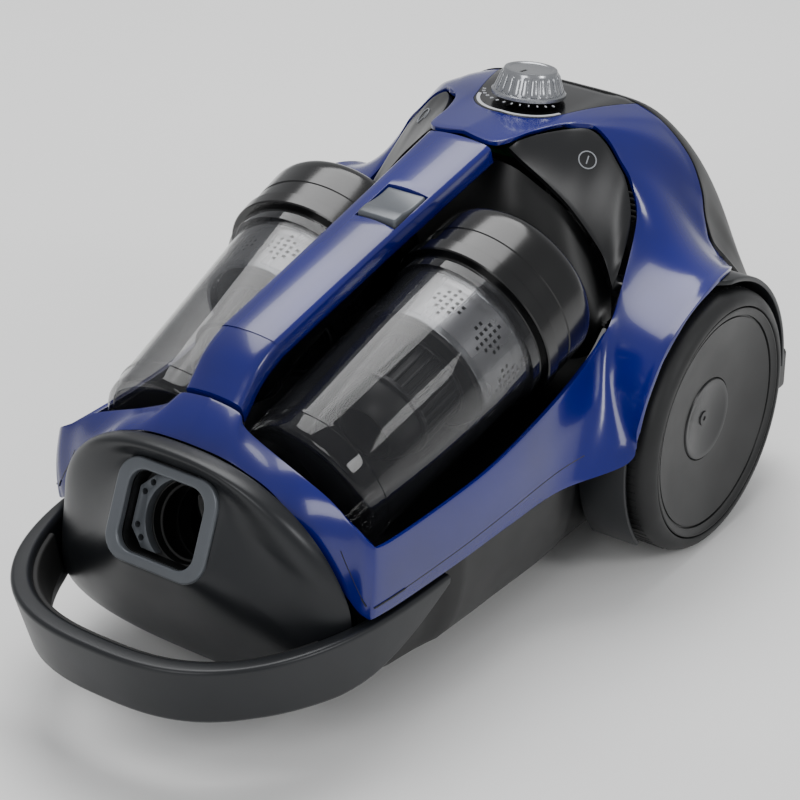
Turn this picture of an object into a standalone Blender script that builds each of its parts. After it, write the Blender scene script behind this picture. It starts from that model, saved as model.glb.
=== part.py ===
"""Bagless canister vacuum cleaner with two dust cups, as an assembly of separate parts.

Sizes are in millimetres and at() turns them into metres. X is across the machine, +Y runs
from the nose to the tail and Z is up. Places along Y are given from the wheel axle, and
at() moves them so that the origin lies under the middle of the whole machine.
"""
import math

import bmesh
import bpy
from mathutils import Matrix, Vector

MM = 0.001
GAP = 0.4
WALL = 2.5
MERGE = 0.00001

# Facets around wheels, dust bins, and small turned parts
WHEEL_STEPS = 28
BIN_STEPS = 24
TURN_STEPS = 20
PIN_STEPS = 12

# Overall layout
FRONT_REACH = 387.9
REAR_REACH = 118.0
AXLE_SHIFT = (FRONT_REACH - REAR_REACH) / 2
FLOOR_GAP = 20.0
BELT_Z = 82.0
DECK_Y = 58.0

# Wheels
WHEEL_R = 80.0
WHEEL_OUT_X = 147.0
TYRE_W = 35.0
CAP_R = 70.0
CAP_DISH = 9.0
DISC_R = 25.0
AXLE_R = 8.0
ARCH_R = WHEEL_R + 4.0
ARCH_WALL = 3.2
WELL_X = WHEEL_OUT_X - TYRE_W - 4.0

# Front caster
CASTER_Y = -238.0
CASTER_R = 14.0
CASTER_W = 14.0
CASTER_TRAIL = 11.0
CASTER_BOWL_R = 31.0
STEM_R = 5.0

# Dust bins: each axis starts at the front face and climbs to the rear
BIN_X = 45.5
BIN_Y = -262.8
BIN_Z = 125.0
BIN_SPREAD = 0.075
BIN_RISE = 0.312
CUP_R = 43.5
CUP_TAPER = 3.0
CUP_L = 141.0
CUP_WALL = 2.0
COLLAR_R = 53.0
COLLAR_L = 46.0
GRILLE_R = 41.5
GRILLE_L = 39.0
CYCLONE_R = 25.0

# Spine that carries the bins
SPINE_T = 12.0
SPINE_HALF_FRONT = 18.8
SPINE_HALF_REAR = 22.0
SPINE_CROWN = 2.6
BUTTON_W = 27.0
BUTTON_L = 32.0
BUTTON_Y = -128.0
BUTTON_X = 4.0
BUTTON_T = 7.0

# Hose port
PORT_R = 22.0
PORT_X = 6.0
POCKET_W = 50.0
POCKET_H = 44.0
POCKET_D = 14.0
BEZEL_W = 66.0
BEZEL_H = 56.0
BEZEL_TOP = (-313.7, 147.7)
BEZEL_FOOT = (-336.2, 96.4)

# Front handle loop
LOOP_HALF = 112.6
LOOP_DEPTH = 162.5
LOOP_Y = -225.8
LOOP_POWER = 2.6
LOOP_TOP = 79.0
LOOP_H = 38.0
LOOP_W = 12.5
LOOP_TUCK = 9.5

# Suction dial
KNOB_Y = 14.5
KNOB_R = 22.0
KNOB_TOP_R = 16.3
KNOB_H = 16.0
KNOB_TILT = math.radians(8.0)
DIAL_R = 32.0

# Motor, cord drum
MOTOR_X = -30.0
MOTOR_Z = 98.0
MOTOR_R = 54.0
MOTOR_Y = (8.0, 90.0)
DRUM_X = 64.0
DRUM_Y = 36.0
DRUM_Z = 108.0
DRUM_R = 58.0
DRUM_W = 36.0

# Points in millimetres that lie well inside the body and under the bin bay
INSIDE = (0, -80, 90)
BELOW_BAY = (0, -160, -2000)

COLOURS = {
    "blue": ((0.005, 0.02, 0.30), 0.18, 0.0),
    "gunmetal": ((0.06, 0.062, 0.066), 0.35, 0.0),
    "black": ((0.012, 0.012, 0.013), 0.4, 0.0),
    "grey": ((0.22, 0.23, 0.25), 0.35, 0.0),
    "smoke": ((0.10, 0.10, 0.11), 0.08, 0.0),
    "silver": ((0.62, 0.62, 0.63), 0.3, 0.9),
    "rubber": ((0.02, 0.02, 0.02), 0.75, 0.0),
    "steel": ((0.5, 0.5, 0.5), 0.3, 1.0),
    "foam": ((0.05, 0.05, 0.06), 0.9, 0.0),
    "copper": ((0.5, 0.22, 0.1), 0.4, 0.9),
    "board": ((0.02, 0.12, 0.05), 0.5, 0.0),
}


# ---------------------------------------------------------------- helpers

def at(x, y, z):
    """Point in metres from millimetres, with y measured from the wheel axle."""
    return Vector((x, y + AXLE_SHIFT, z)) * MM


def clear_scene():
    for item in list(bpy.data.objects):
        bpy.data.objects.remove(item)


def new_collection(name):
    group = bpy.data.collections.new(name)
    bpy.context.scene.collection.children.link(group)
    return group


def material(name):
    found = bpy.data.materials.get(name)
    if found:
        return found
    colour, rough, metal = COLOURS[name]
    made = bpy.data.materials.new(name)
    made.use_nodes = True
    shader = made.node_tree.nodes["Principled BSDF"]
    shader.inputs["Base Color"].default_value = (*colour, 1.0)
    shader.inputs["Roughness"].default_value = rough
    shader.inputs["Metallic"].default_value = metal
    return made


def finish(obj, colour, parent=None):
    """Put a part in the collection, give it its material and its parent."""
    parts.objects.link(obj)
    obj.data.materials.clear()
    obj.data.materials.append(material(colour))
    obj.data.shade_smooth()
    obj.data.set_sharp_from_angle(angle=math.radians(35))
    if parent is not None:
        keep_place(obj, parent)
    return obj


def keep_place(obj, parent):
    """Parent an object to an empty without moving it."""
    bpy.context.view_layer.update()
    obj.parent = parent
    obj.matrix_parent_inverse = parent.matrix_world.inverted()


def pivot(name, place):
    """Empty on a joint's axis, which carries the parts that move."""
    empty = bpy.data.objects.new(name, None)
    empty.location = place
    empty.empty_display_size = 0.02
    parts.objects.link(empty)
    bpy.context.view_layer.update()
    return empty


def mesh_object(name, verts, faces):
    mesh = bpy.data.meshes.new(name)
    mesh.from_pydata(verts, [], faces)
    shape = bmesh.new()
    shape.from_mesh(mesh)
    bmesh.ops.remove_doubles(shape, verts=shape.verts, dist=MERGE)
    bmesh.ops.recalc_face_normals(shape, faces=shape.faces)
    shape.to_mesh(mesh)
    shape.free()
    return bpy.data.objects.new(name, mesh)


def align(axis):
    """Rotation that turns +Z to the given direction."""
    return Vector((0, 0, 1)).rotation_difference(Vector(axis)).to_matrix().to_4x4()


def turned(name, profile, origin, axis, steps=TURN_STEPS, closed=True, climbs=False):
    """Profile of (radius, height) points turned about an axis through origin.

    A closed profile makes a ring; an open one starts and ends on the axis. The faces of a
    profile that climbs from its low end to its high end have to be flipped.
    """
    count = len(profile)
    edges = [(i, i + 1) for i in range(count - 1)]
    if closed:
        edges.append((count - 1, 0))
    mesh = bpy.data.meshes.new(name)
    mesh.from_pydata([(r * MM, 0, h * MM) for r, h in profile], edges, [])
    obj = bpy.data.objects.new(name, mesh)
    obj.matrix_world = Matrix.Translation(origin) @ align(axis)
    screw = obj.modifiers.new("turn", "SCREW")
    screw.steps = steps
    screw.render_steps = steps
    screw.use_merge_vertices = True
    screw.merge_threshold = MERGE
    screw.use_normal_flip = climbs
    return obj


def solid_bar(name, radius, low, high, origin, axis, steps=TURN_STEPS):
    return turned(name, [(0, high), (radius, high), (radius, low), (0, low)],
                  origin, axis, steps, closed=False)


def tube(name, outer, inner, low, high, origin, axis, steps=TURN_STEPS):
    return turned(name, [(inner, high), (outer, high), (outer, low), (inner, low)],
                  origin, axis, steps)


def box(name, low, high, bevel=0.0):
    """Box between two corners in millimetres, with y from the axle."""
    shape = bmesh.new()
    bmesh.ops.create_cube(shape, size=1.0)
    a, b = at(*low), at(*high)
    bmesh.ops.scale(shape, vec=b - a, verts=shape.verts)
    bmesh.ops.translate(shape, vec=(a + b) / 2, verts=shape.verts)
    mesh = bpy.data.meshes.new(name)
    shape.to_mesh(mesh)
    shape.free()
    obj = bpy.data.objects.new(name, mesh)
    if bevel:
        add_bevel(obj, bevel, 1)
    return obj


def add_bevel(obj, width, segments):
    edge = obj.modifiers.new("bevel", "BEVEL")
    edge.width = width * MM
    edge.segments = segments
    edge.limit_method = "ANGLE"


def cutter(obj):
    """Hidden tool for a Boolean."""
    cutters.objects.link(obj)
    obj.hide_render = True
    obj.display_type = "WIRE"
    return obj


def cut(obj, tool, operation="DIFFERENCE"):
    change = obj.modifiers.new("cut", "BOOLEAN")
    change.operation = operation
    change.object = tool
    change.solver = "EXACT"


def solidify(obj, wall, towards, even=True):
    """Give an open sheet its wall, which grows on the side of a point in millimetres."""
    inside = at(*towards)
    shape = bmesh.new()
    shape.from_mesh(obj.data)
    facing = sum(face.normal.dot(face.calc_center_median() - inside) * face.calc_area()
                 for face in shape.faces)
    if facing < 0:
        bmesh.ops.reverse_faces(shape, faces=shape.faces)
        shape.to_mesh(obj.data)
    shape.free()
    thick = obj.modifiers.new("wall", "SOLIDIFY")
    thick.thickness = wall * MM
    thick.offset = -1.0
    thick.use_even_offset = even


def mirror(obj):
    half = obj.modifiers.new("mirror", "MIRROR")
    half.merge_threshold = 0.0001
    half.use_clip = True


def spline(values, steps):
    """Catmull-Rom curve through a list of Vectors, with steps points per interval."""
    points = []
    last = len(values) - 1
    for i in range(last):
        p0, p1 = values[max(i - 1, 0)], values[i]
        p2, p3 = values[i + 1], values[min(i + 2, last)]
        for k in range(steps):
            t = k / steps
            points.append(0.5 * ((2 * p1) + (p2 - p0) * t + (2 * p0 - 5 * p1 + 4 * p2 - p3) * t * t
                                 + (3 * p1 - p0 - 3 * p2 + p3) * t ** 3))
    points.append(values[last].copy())
    return points


def bezier(a, b, c, d, t):
    u = 1 - t
    return a * u ** 3 + b * 3 * u * u * t + c * 3 * u * t * t + d * t ** 3


def rib_sheet(ribs, along, across, closed=False):
    """Open sheet lofted over ribs of (start, start handle, end handle, end) in millimetres."""
    ribs = list(ribs) + ([ribs[0]] if closed else [])
    tracks = [spline([Vector(rib[k]) for rib in ribs], along) for k in range(4)]
    rows = []
    for a, b, c, d in zip(*tracks):
        rows.append([bezier(a, b, c, d, k / across) for k in range(across + 1)])
    if closed:
        rows.pop()
    return rows


def grid_faces(rows, closed=False):
    width = len(rows[0])
    faces = []
    for i in range(len(rows) - (0 if closed else 1)):
        nxt = (i + 1) % len(rows)
        for k in range(width - 1):
            faces.append((i * width + k, nxt * width + k, nxt * width + k + 1, i * width + k + 1))
    return faces


def sheet_object(name, rows, closed=False):
    verts = [at(*p) for row in rows for p in row]
    return mesh_object(name, verts, grid_faces(rows, closed))


def loft_tube(name, sections):
    """Closed solid through cross-sections of equal point count, capped at both ends."""
    width = len(sections[0])
    verts = [at(*p) for section in sections for p in section]
    faces = []
    for i in range(len(sections) - 1):
        for k in range(width):
            nxt = (k + 1) % width
            faces.append((i * width + k, i * width + nxt, (i + 1) * width + nxt, (i + 1) * width + k))
    faces.append(tuple(range(width)))
    faces.append(tuple(range((len(sections) - 1) * width, len(sections) * width)))
    return mesh_object(name, verts, faces)


def outline_prism(name, outline, low, high):
    """Upright prism over an outline of (x, y) points."""
    return loft_tube(name, [[(x, y, low) for x, y in outline], [(x, y, high) for x, y in outline]])


def arc(cx, cy, radius, start, end, count):
    """Points of a circular arc, with angles in degrees."""
    step = math.radians(end - start) / count
    return [(cx + radius * math.cos(math.radians(start) + i * step),
             cy + radius * math.sin(math.radians(start) + i * step)) for i in range(count + 1)]


def super_arch(half, height, power, angle):
    """Point of a superellipse: across and up."""
    c, s = math.cos(angle), math.sin(angle)
    return (half * math.copysign(abs(c) ** (2 / power), c),
            height * math.copysign(abs(s) ** (2 / power), s))


# ---------------------------------------------------------------- upper cover

def fender(angle, x, radius):
    """Point on a circle around the wheel; 0 degrees is its front, 90 its top."""
    a = math.radians(angle)
    return (x, -radius * math.cos(a), WHEEL_R + radius * math.sin(a))


def cover_ribs():
    """Ribs of the blue cover's right half, from the nose round the bay to the tail.

    Each one is (bay edge, outer edge, swelling near the bay, swelling near the outer edge).
    """
    lip = ARCH_R + ARCH_WALL + WALL + 0.7
    edge_x = WHEEL_OUT_X - 6.0
    low = BELT_Z + 1.2
    return [
        ((0, -283, 175), (0, -304, 158.5), (0, -1, 1.5), (0, -1, 1.5)),
        ((SPINE_HALF_FRONT, -283, 172.3), (22, -303.7, 157.2), (0, -1, 1.5), (0, -1, 1.5)),
        ((25, -285, 165.5), (38, -302.7, 152.8), (0, -1, 1.5), (0, -1, 1.5)),
        ((45, -284.5, 155.5), (56, -300.8, 143.5), (1, -1, 1.5), (1, -1, 1.5)),
        ((78, -285.5, 142.5), (79, -296.5, 116.5), (3, -2, 2), (3, -1, 1)),
        ((93, -286.5, 132.5), (91, -292.8, 96.5), (3, -2, 1), (3, -1, 0)),
        ((104.5, -286, 125.5), (103, -290, low), (2, -2, 0), (3, -2, 0)),
        ((107.5, -276, 121.5), (109, -281, low), (1.5, -1, 0), (1.5, -1, 0)),
        ((108.5, -220, 121), (112.5, -222, low), (1.5, 0, 0), (1.5, 0, 0)),
        ((109.5, -175, 124.5), (113.5, -172, low), (1.5, 0, 0), (1.5, 0, 0)),
        ((110, -118, 137), (116, -124, low), (1, 0, -2), (0, 0, -2)),
        ((106.5, -78, 146), fender(8, edge_x - 2, lip), (-5, 0, -3), (-6, 0, -2)),
        ((102, -52, 156), fender(35, edge_x, lip), (-3, -1.5, 1.5), (-6, -1.5, 1.5)),
        ((96, -30, 172), fender(60, edge_x, lip), (-3, 0, -2), (-5, 0, -0.5)),
        ((89, -9, 187), fender(85, edge_x - 1, lip), (0, 0, -5), (-5, 0, -4)),
        ((85, 0, 200), fender(106, edge_x - 7, lip), (2, 0, -2), (-6, 0, -6)),
        ((78, 4, 215.5), fender(127, edge_x - 23, lip), (6, 6, 6), (-8, 0, -2)),
        ((70, 5, 225), (104, DECK_Y - 2, 163), (8, 6, 8), (-3, 0, 4)),
        ((62, 6, 234), (98, DECK_Y - 1, 178), (9, 6, 9), (2, 2, 8)),
        ((54, 6, 240), (94.5, DECK_Y - 1, 195), (8, 4, 8), (5, 3, 8)),
        ((48, 3.5, 242.5), (85, DECK_Y - 0.5, 213.5), (6, 3, 6), (5, 2, 7)),
        ((38, -5, 242.8), (66, DECK_Y - 0.5, 230.5), (3, 0, 4), (3, 0, 5)),
        ((30, -25, 243.6), (44, DECK_Y - 0.5, 238.5), (0, 0, 2.5), (0, 0, 2.5)),
        ((SPINE_HALF_REAR, -53, 244.6), (25, DECK_Y - 0.5, 239.3), (0, 0, 2), (0, 0, 2)),
        ((0, -53, 246.5), (0, DECK_Y - 0.5, 239.5), (0, 0, 2), (0, 0, 2)),
    ]


def handled(ribs):
    """Turn (start, end, swell, swell) into Bezier ribs."""
    for start, end, near, far in ribs:
        a, d = Vector(start), Vector(end)
        yield a, a + (d - a) / 3 + Vector(near), d - (d - a) / 3 + Vector(far), d


def cover_sheet(name, lift=0.0):
    rows = rib_sheet(handled(cover_ribs()), 2, 4)
    for row in rows:
        for point in row:
            point.z += lift
    for row in (rows[0], rows[-1]):
        for point in row:
            point.x = 0.0
    obj = sheet_object(name, rows)
    mirror(obj)
    return obj


def dial_outline(inset):
    """Outline of the dial plate, seen from above: round in front, wide behind."""
    radius = DIAL_R - inset
    front = arc(0, KNOB_Y, radius, -148, -32, 10)
    rear = 50 - inset
    return front + [(rear, DECK_Y + 4 - inset), (-rear, DECK_Y + 4 - inset)]


def build_upper_cover():
    cover = cover_sheet("upper_cover")
    solidify(cover, WALL, INSIDE)
    cut(cover, cutter(outline_prism("dial_opening", dial_outline(0), 200, 280)))
    clear_r = ARCH_R + ARCH_WALL + 2 * GAP
    for side in (-1, 1):
        room = tube("arch_room", clear_r, CAP_R - 10, WELL_X - ARCH_WALL - 2 * GAP, WHEEL_OUT_X + 3,
                    at(0, 0, WHEEL_R), (side, 0, 0), 48)
        cut(cover, cutter(room))
    finish(cover, "blue", body)

    plate = cover_sheet("dial_plate")
    solidify(plate, WALL, INSIDE)
    cut(plate, cutter(outline_prism("dial_blank", dial_outline(GAP), 200, 280)), "INTERSECT")
    cut(plate, cutter(solid_bar("stem_hole", 5.5, -30, 10, knob_place(), knob_axis())))
    finish(plate, "black", body)

    scale = cover_sheet("dial_scale", 1.2)
    solidify(scale, 0.8, INSIDE)
    band = arc(0, KNOB_Y, 29.5, -160, -20, 16) + arc(0, KNOB_Y, 26, -20, -160, 16)
    cut(scale, cutter(outline_prism("scale_band", band, 200, 280)), "INTERSECT")
    finish(scale, "silver", body)


# ---------------------------------------------------------------- nose and hose port

def nose_plane(z):
    """How far forward the cover's front edge lies at a height."""
    return -294 - 0.17 * (z - 100)


def bezel_point(x, up, out=0.0):
    """Point in the hose port's tilted plane: across, up from its middle, and outwards."""
    top, foot = Vector(BEZEL_TOP), Vector(BEZEL_FOOT)
    rise = (top - foot).normalized()
    middle = (top + foot) / 2
    y = middle.x + rise.x * up - rise.y * out
    z = middle.y + rise.y * up + rise.x * out
    return (x, y, z)


def bezel_axis():
    return Vector(bezel_point(0, 0, 1)) - Vector(bezel_point(0, 0, 0))


def rounded_rectangle(width, height, radius, per_corner=4):
    """Outline that starts at the middle of the right side and runs anticlockwise."""
    w, h = width / 2 - radius, height / 2 - radius
    points = []
    for cx, cy, start in ((w, h, 0), (-w, h, 90), (-w, -h, 180), (w, -h, 270)):
        points += arc(cx, cy, radius, start, start + 90, per_corner)
    return points


def port_prism(name, outline, low, high):
    return loft_tube(name, [[bezel_point(x, u, low) for x, u in outline],
                            [bezel_point(x, u, high) for x, u in outline]])


def nose_rim(angle):
    """Outer edge of the nose shield, which follows the cover's front arch."""
    if math.sin(angle) >= 0:
        x, up = super_arch(98.5, 102.0, 2.35, angle)
        z = 56 + up
    else:
        x, up = super_arch(98.5, 32.0, 2.9, angle)
        z = 56 + up
    return (x, nose_plane(max(z, 84)) - 1.4 - 0.1 * (84 - min(z, 84)), z)


def build_nose():
    outline = rounded_rectangle(BEZEL_W + 1, BEZEL_H + 1, 14, 5)
    ribs = []
    for x, up in outline:
        angle = math.atan2(up * 1.25, x)
        rim = Vector(nose_rim(angle))
        mouth = Vector(bezel_point(x, up, -0.5))
        span = mouth - rim
        swell = Vector((rim.x * 0.10, -13 - 5 * math.sin(angle), 7 * math.sin(angle)))
        ribs.append((rim, rim + span * 0.30 + swell, mouth - span * 0.28 + swell * 0.25, mouth))
    nose = sheet_object("nose_cover", rib_sheet(ribs, 1, 5, closed=True), closed=True)
    solidify(nose, WALL, INSIDE)
    mouth = rounded_rectangle(BEZEL_W + 0.8, BEZEL_H + 0.8, 13.9)
    cut(nose, cutter(port_prism("nose_mouth", mouth, -14, 14)))
    finish(nose, "gunmetal", body)


def build_port():
    ring = port_prism("inlet_bezel", rounded_rectangle(BEZEL_W, BEZEL_H, 13.5), -3.0, 2.0)
    cut(ring, cutter(port_prism("bezel_mouth", rounded_rectangle(POCKET_W, POCKET_H, 10), -10, 10)))
    finish(ring, "grey", body)

    socket = port_prism("inlet_socket", rounded_rectangle(58, 50, 11), -34, -3.4)
    pocket = rounded_rectangle(POCKET_W, POCKET_H, 10)
    cut(socket, cutter(port_prism("socket_pocket", pocket, -POCKET_D, 5)))
    bore = at(*bezel_point(PORT_X, 0))
    cut(socket, cutter(solid_bar("socket_bore", PORT_R, -50, 10, bore, bezel_axis(), BIN_STEPS)))
    finish(socket, "black", body)

    outline = [(-24, -11), (-15, -20), (-4, -20), (-4, 20), (-15, 20), (-24, 11)]
    lugs = port_prism("contact_block", outline, GAP - POCKET_D, -8)
    cut(lugs, cutter(solid_bar("lug_bore", PORT_R + 0.8, -50, 10, bore, bezel_axis(), BIN_STEPS)))
    for x, up in ((-20.5, 9), (-16.5, 15), (-20.5, -9), (-16.5, -15)):
        hole = at(*bezel_point(x, up))
        cut(lugs, cutter(solid_bar("contact_hole", 1.8, -20, 10, hole, bezel_axis(), 8)))
    finish(lugs, "grey", body)

    duct = tube("inlet_duct", 24, 21.5, -46, -34.6, bore, bezel_axis(), BIN_STEPS)
    finish(duct, "black", body)


# ---------------------------------------------------------------- chassis and handle

CHASSIS_STATIONS = [
    # y, half-width at the belt, half-width of the floor
    (-284, 95, 60),
    (-274, 97, 78),
    (-240, 98.5, 87),
    (-226, 99, 89),
    (-213, 111, 91),
    (-170, 112.5, 92),
    (-122, 113.5, 93),
    (-100, 111, 93),
    (-90, 103.5, 93),
    (0, 103.5, 93),
    (92, 103.5, 92),
    (102, 109, 90),
    (112, 107, 84),
    (116.5, 98, 74),
]


def chassis_section(y, top, floor):
    corner = [Vector((top, y, BELT_Z)), Vector((top + 1, y, 52)),
              Vector((floor + 9, y, FLOOR_GAP)), Vector((floor - 8, y, FLOOR_GAP))]
    row = [bezier(*corner, k / 4) for k in range(5)]
    return row + [Vector((0, y, FLOOR_GAP))]


def end_section(y, top, floor):
    """Flat row along the top edge, which closes an end of the tray with a wall."""
    row = chassis_section(y, top, floor)
    return [Vector((p.x, y, BELT_Z)) for p in row]


def build_chassis():
    rows = [end_section(*CHASSIS_STATIONS[0])]
    rows += [chassis_section(*station) for station in CHASSIS_STATIONS]
    rows.append(end_section(*CHASSIS_STATIONS[-1]))
    tray = sheet_object("chassis", rows)
    mirror(tray)
    solidify(tray, WALL, INSIDE)
    hole = at(0, CASTER_Y, 0)
    cut(tray, cutter(solid_bar("caster_hole", CASTER_BOWL_R, 10, 30, hole, (0, 0, 1), TURN_STEPS)))
    across = solid_bar("axle_bore", AXLE_R + GAP, -130, 130, at(0, 0, WHEEL_R), (1, 0, 0))
    cut(tray, cutter(across))
    finish(tray, "black", body)

    for side, name in ((-1, "left"), (1, "right")):
        xs = sorted((side * 112, side * 130))
        foot = box("rear_foot_" + name, (xs[0], 97, 48), (xs[1], REAR_REACH - 0.4, 76), 4)
        finish(foot, "black", body)


def loop_section(angle, start, stop, top, bottom):
    """Cross-section of the handle loop between two depths from its outer face."""
    c, s = math.cos(angle), math.sin(angle)
    x, up = super_arch(LOOP_HALF, LOOP_DEPTH, LOOP_POWER, angle)
    nx = math.copysign(abs(c) ** (2 - 2 / LOOP_POWER), c) / LOOP_HALF
    ny = -(abs(s) ** (2 - 2 / LOOP_POWER)) / LOOP_DEPTH
    out = Vector((nx, ny, 0)).normalized()
    place = Vector((x, LOOP_Y - up, 0))
    front = min(1.0, max(0.0, (abs(up) - 60) / 70))
    tuck = 3.0 + (LOOP_TUCK - 3.0) * front

    def point(depth, z):
        slope = (LOOP_TOP - z) / LOOP_H
        return place - out * (depth + tuck * slope) + Vector((0, 0, z))

    return [point(start + 1.5, top), point(stop - 1.0, top), point(stop, top - 1.5),
            point(stop, bottom + 1.5), point(stop - 1.5, bottom), point(start + 1.5, bottom),
            point(start, bottom + 1.5), point(start, top - 1.5)]


def loop_width(angle):
    return 8.0 + (LOOP_W - 8.0) * math.sin(angle)


def arm_bottom(angle):
    """Underside of the loop, which sweeps up to a point at the end of each arm."""
    reach = super_arch(LOOP_HALF, LOOP_DEPTH, LOOP_POWER, angle)[1]
    rise = max(0.0, 1 - reach / 85.0)
    return LOOP_TOP - LOOP_H + (LOOP_H - 7.0) * rise ** 1.6


def build_handle():
    steps = 32
    angles = [math.pi * k / steps for k in range(steps + 1)]
    sections = [loop_section(a, 0, loop_width(a), LOOP_TOP, arm_bottom(a)) for a in angles]
    finish(loft_tube("front_handle", sections), "gunmetal", body)

    inner = [math.radians(28 + 124 * k / 24) for k in range(25)]
    strip = [loop_section(a, loop_width(a) + 0.8, loop_width(a) + 3.2, LOOP_TOP - 3,
                          LOOP_TOP - 27) for a in inner]
    finish(loft_tube("handle_grip", strip), "rubber", body)


# ---------------------------------------------------------------- bin bay

def bay_floor(y):
    return 72 + 0.23 * (y + 262)


def bay_ribs():
    """Ribs of the bin bay's right half: top edge first, middle of the floor last."""
    edges = [
        ((0, -279.5, 157), -263), ((19, -279.5, 156), -262), ((27, -280.5, 154.5), -262),
        ((45, -280.5, 149), -260), ((76, -281.5, 137), -256), ((90, -282, 127), -252),
        ((100, -281, 121), -246), ((103.3, -272, 118), -238), ((104.3, -220, 118), -205),
        ((105.2, -175, 121), -170), ((105.5, -118, 133), -118), ((101.5, -78, 141), -80),
        ((97.5, -54, 150), -58),
    ]
    for (x, y, z), y_end in edges:
        floor = bay_floor(y_end)
        ahead = 6 if y < -278 else 0
        yield (Vector((x, y, z)), Vector((x * 0.985, y + ahead, floor + 8)),
               Vector((x * 0.88, (y + 2 * y_end) / 3, floor)), Vector((0, y_end, floor)))


def build_bay():
    rows = rib_sheet(bay_ribs(), 1, 5)
    for point in rows[0]:
        point.x = 0.0
    for row in rows:
        row[-1].x = 0.0
    bay = sheet_object("bay_liner", rows)
    mirror(bay)
    solidify(bay, 2.2, BELOW_BAY)
    bore = at(*bezel_point(PORT_X, 0))
    cut(bay, cutter(solid_bar("bay_inlet", 24.8, -90, -38, bore, bezel_axis(), BIN_STEPS)))
    finish(bay, "black", body)

    last = rows[-1]
    top = spline([Vector(p) for p in ((96, -43, 151), (84, -25, 158), (69, -22, 181),
                                      (55, -27, 201), (40, -33, 214), (24, -40, 226),
                                      (0, -42, 228))], 2)
    wall = []
    for k, start in enumerate(top):
        share = k / (len(top) - 1) * (len(last) - 1)
        low = last[int(share)].lerp(last[min(int(share) + 1, len(last) - 1)], share % 1)
        end = low + Vector((0, 5, 1))
        wall.append([start.lerp(end, t / 4) + Vector((0, -8 * math.sin(math.pi * t / 4), 0))
                     for t in range(5)])
    for point in wall[-1]:
        point.x = 0.0
    panel = sheet_object("rear_bulkhead", wall)
    mirror(panel)
    solidify(panel, 2.2, (0, 100, 180), even=False)
    for side in (-1, 1):
        place, axis = bin_line(side)
        port = place + axis * 0.18 + at_offset(0, 0, -18)
        cut(panel, cutter(solid_bar("intake_port", 16, 0, 100, port, axis, TURN_STEPS)))
    finish(panel, "black", body)


def at_offset(x, y, z):
    return Vector((x, y, z)) * MM


# ---------------------------------------------------------------- rear cover

def rear_ribs():
    low = BELT_Z + 1.2
    back = REAR_REACH
    y = DECK_Y + 1.0
    return [
        ((0, y, 239.5), (0, 95, 231), (0, back - 1, 170), (0, back, low)),
        ((44, y, 238.5), (44, 95, 228), (48, back - 2, 165), (48, back, low)),
        ((66, y, 230.3), (68, 95, 215), (74, 115, 150), (76, back - 0.5, low)),
        ((85, y, 213.2), (84, 92, 196), (92, 112, 140), (95, back - 1, low)),
        ((94.5, y, 194.7), (92, 88, 172), (104, 108, 128), (108, back - 2, low)),
        ((98, y, 177.7), (97, 85, 152), (112, 104, 121), (118, back - 4.5, low)),
        ((104, y, 163), (106, 80, 140), (118, 101, 117), (124, back - 10, low)),
        ((112, y, 156), (114, 78, 136), (122, 97, 113), (127, back - 17, low)),
    ]


def rear_sheet(name):
    rows = rib_sheet(rear_ribs(), 2, 5)
    for point in rows[0]:
        point.x = 0.0
    obj = sheet_object(name, rows)
    mirror(obj)
    solidify(obj, WALL, INSIDE)
    return obj


def build_rear():
    shell = rear_sheet("rear_cover")
    cut(shell, cutter(box("vent_opening", (-46, 90, 106), (46, 130, 166))))
    outlet = at(72, 0, 104)
    cut(shell, cutter(solid_bar("outlet_hole", 9, 90, 130, outlet, (0, 1, 0), PIN_STEPS)))
    finish(shell, "black", body)

    grille = rear_sheet("exhaust_grille")
    edge = 46 - GAP
    cut(grille, cutter(box("vent_blank", (-edge, 90, 106 + GAP), (edge, 130, 166 - GAP))),
        "INTERSECT")
    slot_count = 5
    for k in range(slot_count):
        z = 114 + 44 * k / (slot_count - 1)
        cut(grille, cutter(box("vent_slot", (-38, 90, z - 2), (38, 130, z + 2))))
    finish(grille, "black", body)

    bush = tube("cord_outlet", 8.5, 4, 104, 117, outlet, (0, 1, 0), PIN_STEPS)
    finish(bush, "rubber", body)


# ---------------------------------------------------------------- wheels

def arch_section(angle, side):
    """L-shaped section of a wheel arch: a band over the tyre and a wall behind it."""
    a = math.radians(angle)
    out_x = WHEEL_OUT_X - 4.5 if angle > 98 else WHEEL_OUT_X - 12
    r1, r2 = ARCH_R, ARCH_R + ARCH_WALL
    x1, x2 = WELL_X - 3.2, WELL_X
    profile = [(out_x, r2), (x1, r2), (x1, 24), (x2, 24), (x2, r1), (out_x, r1)]
    return [(side * x, -r * math.cos(a), WHEEL_R + r * math.sin(a)) for x, r in profile]


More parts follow.
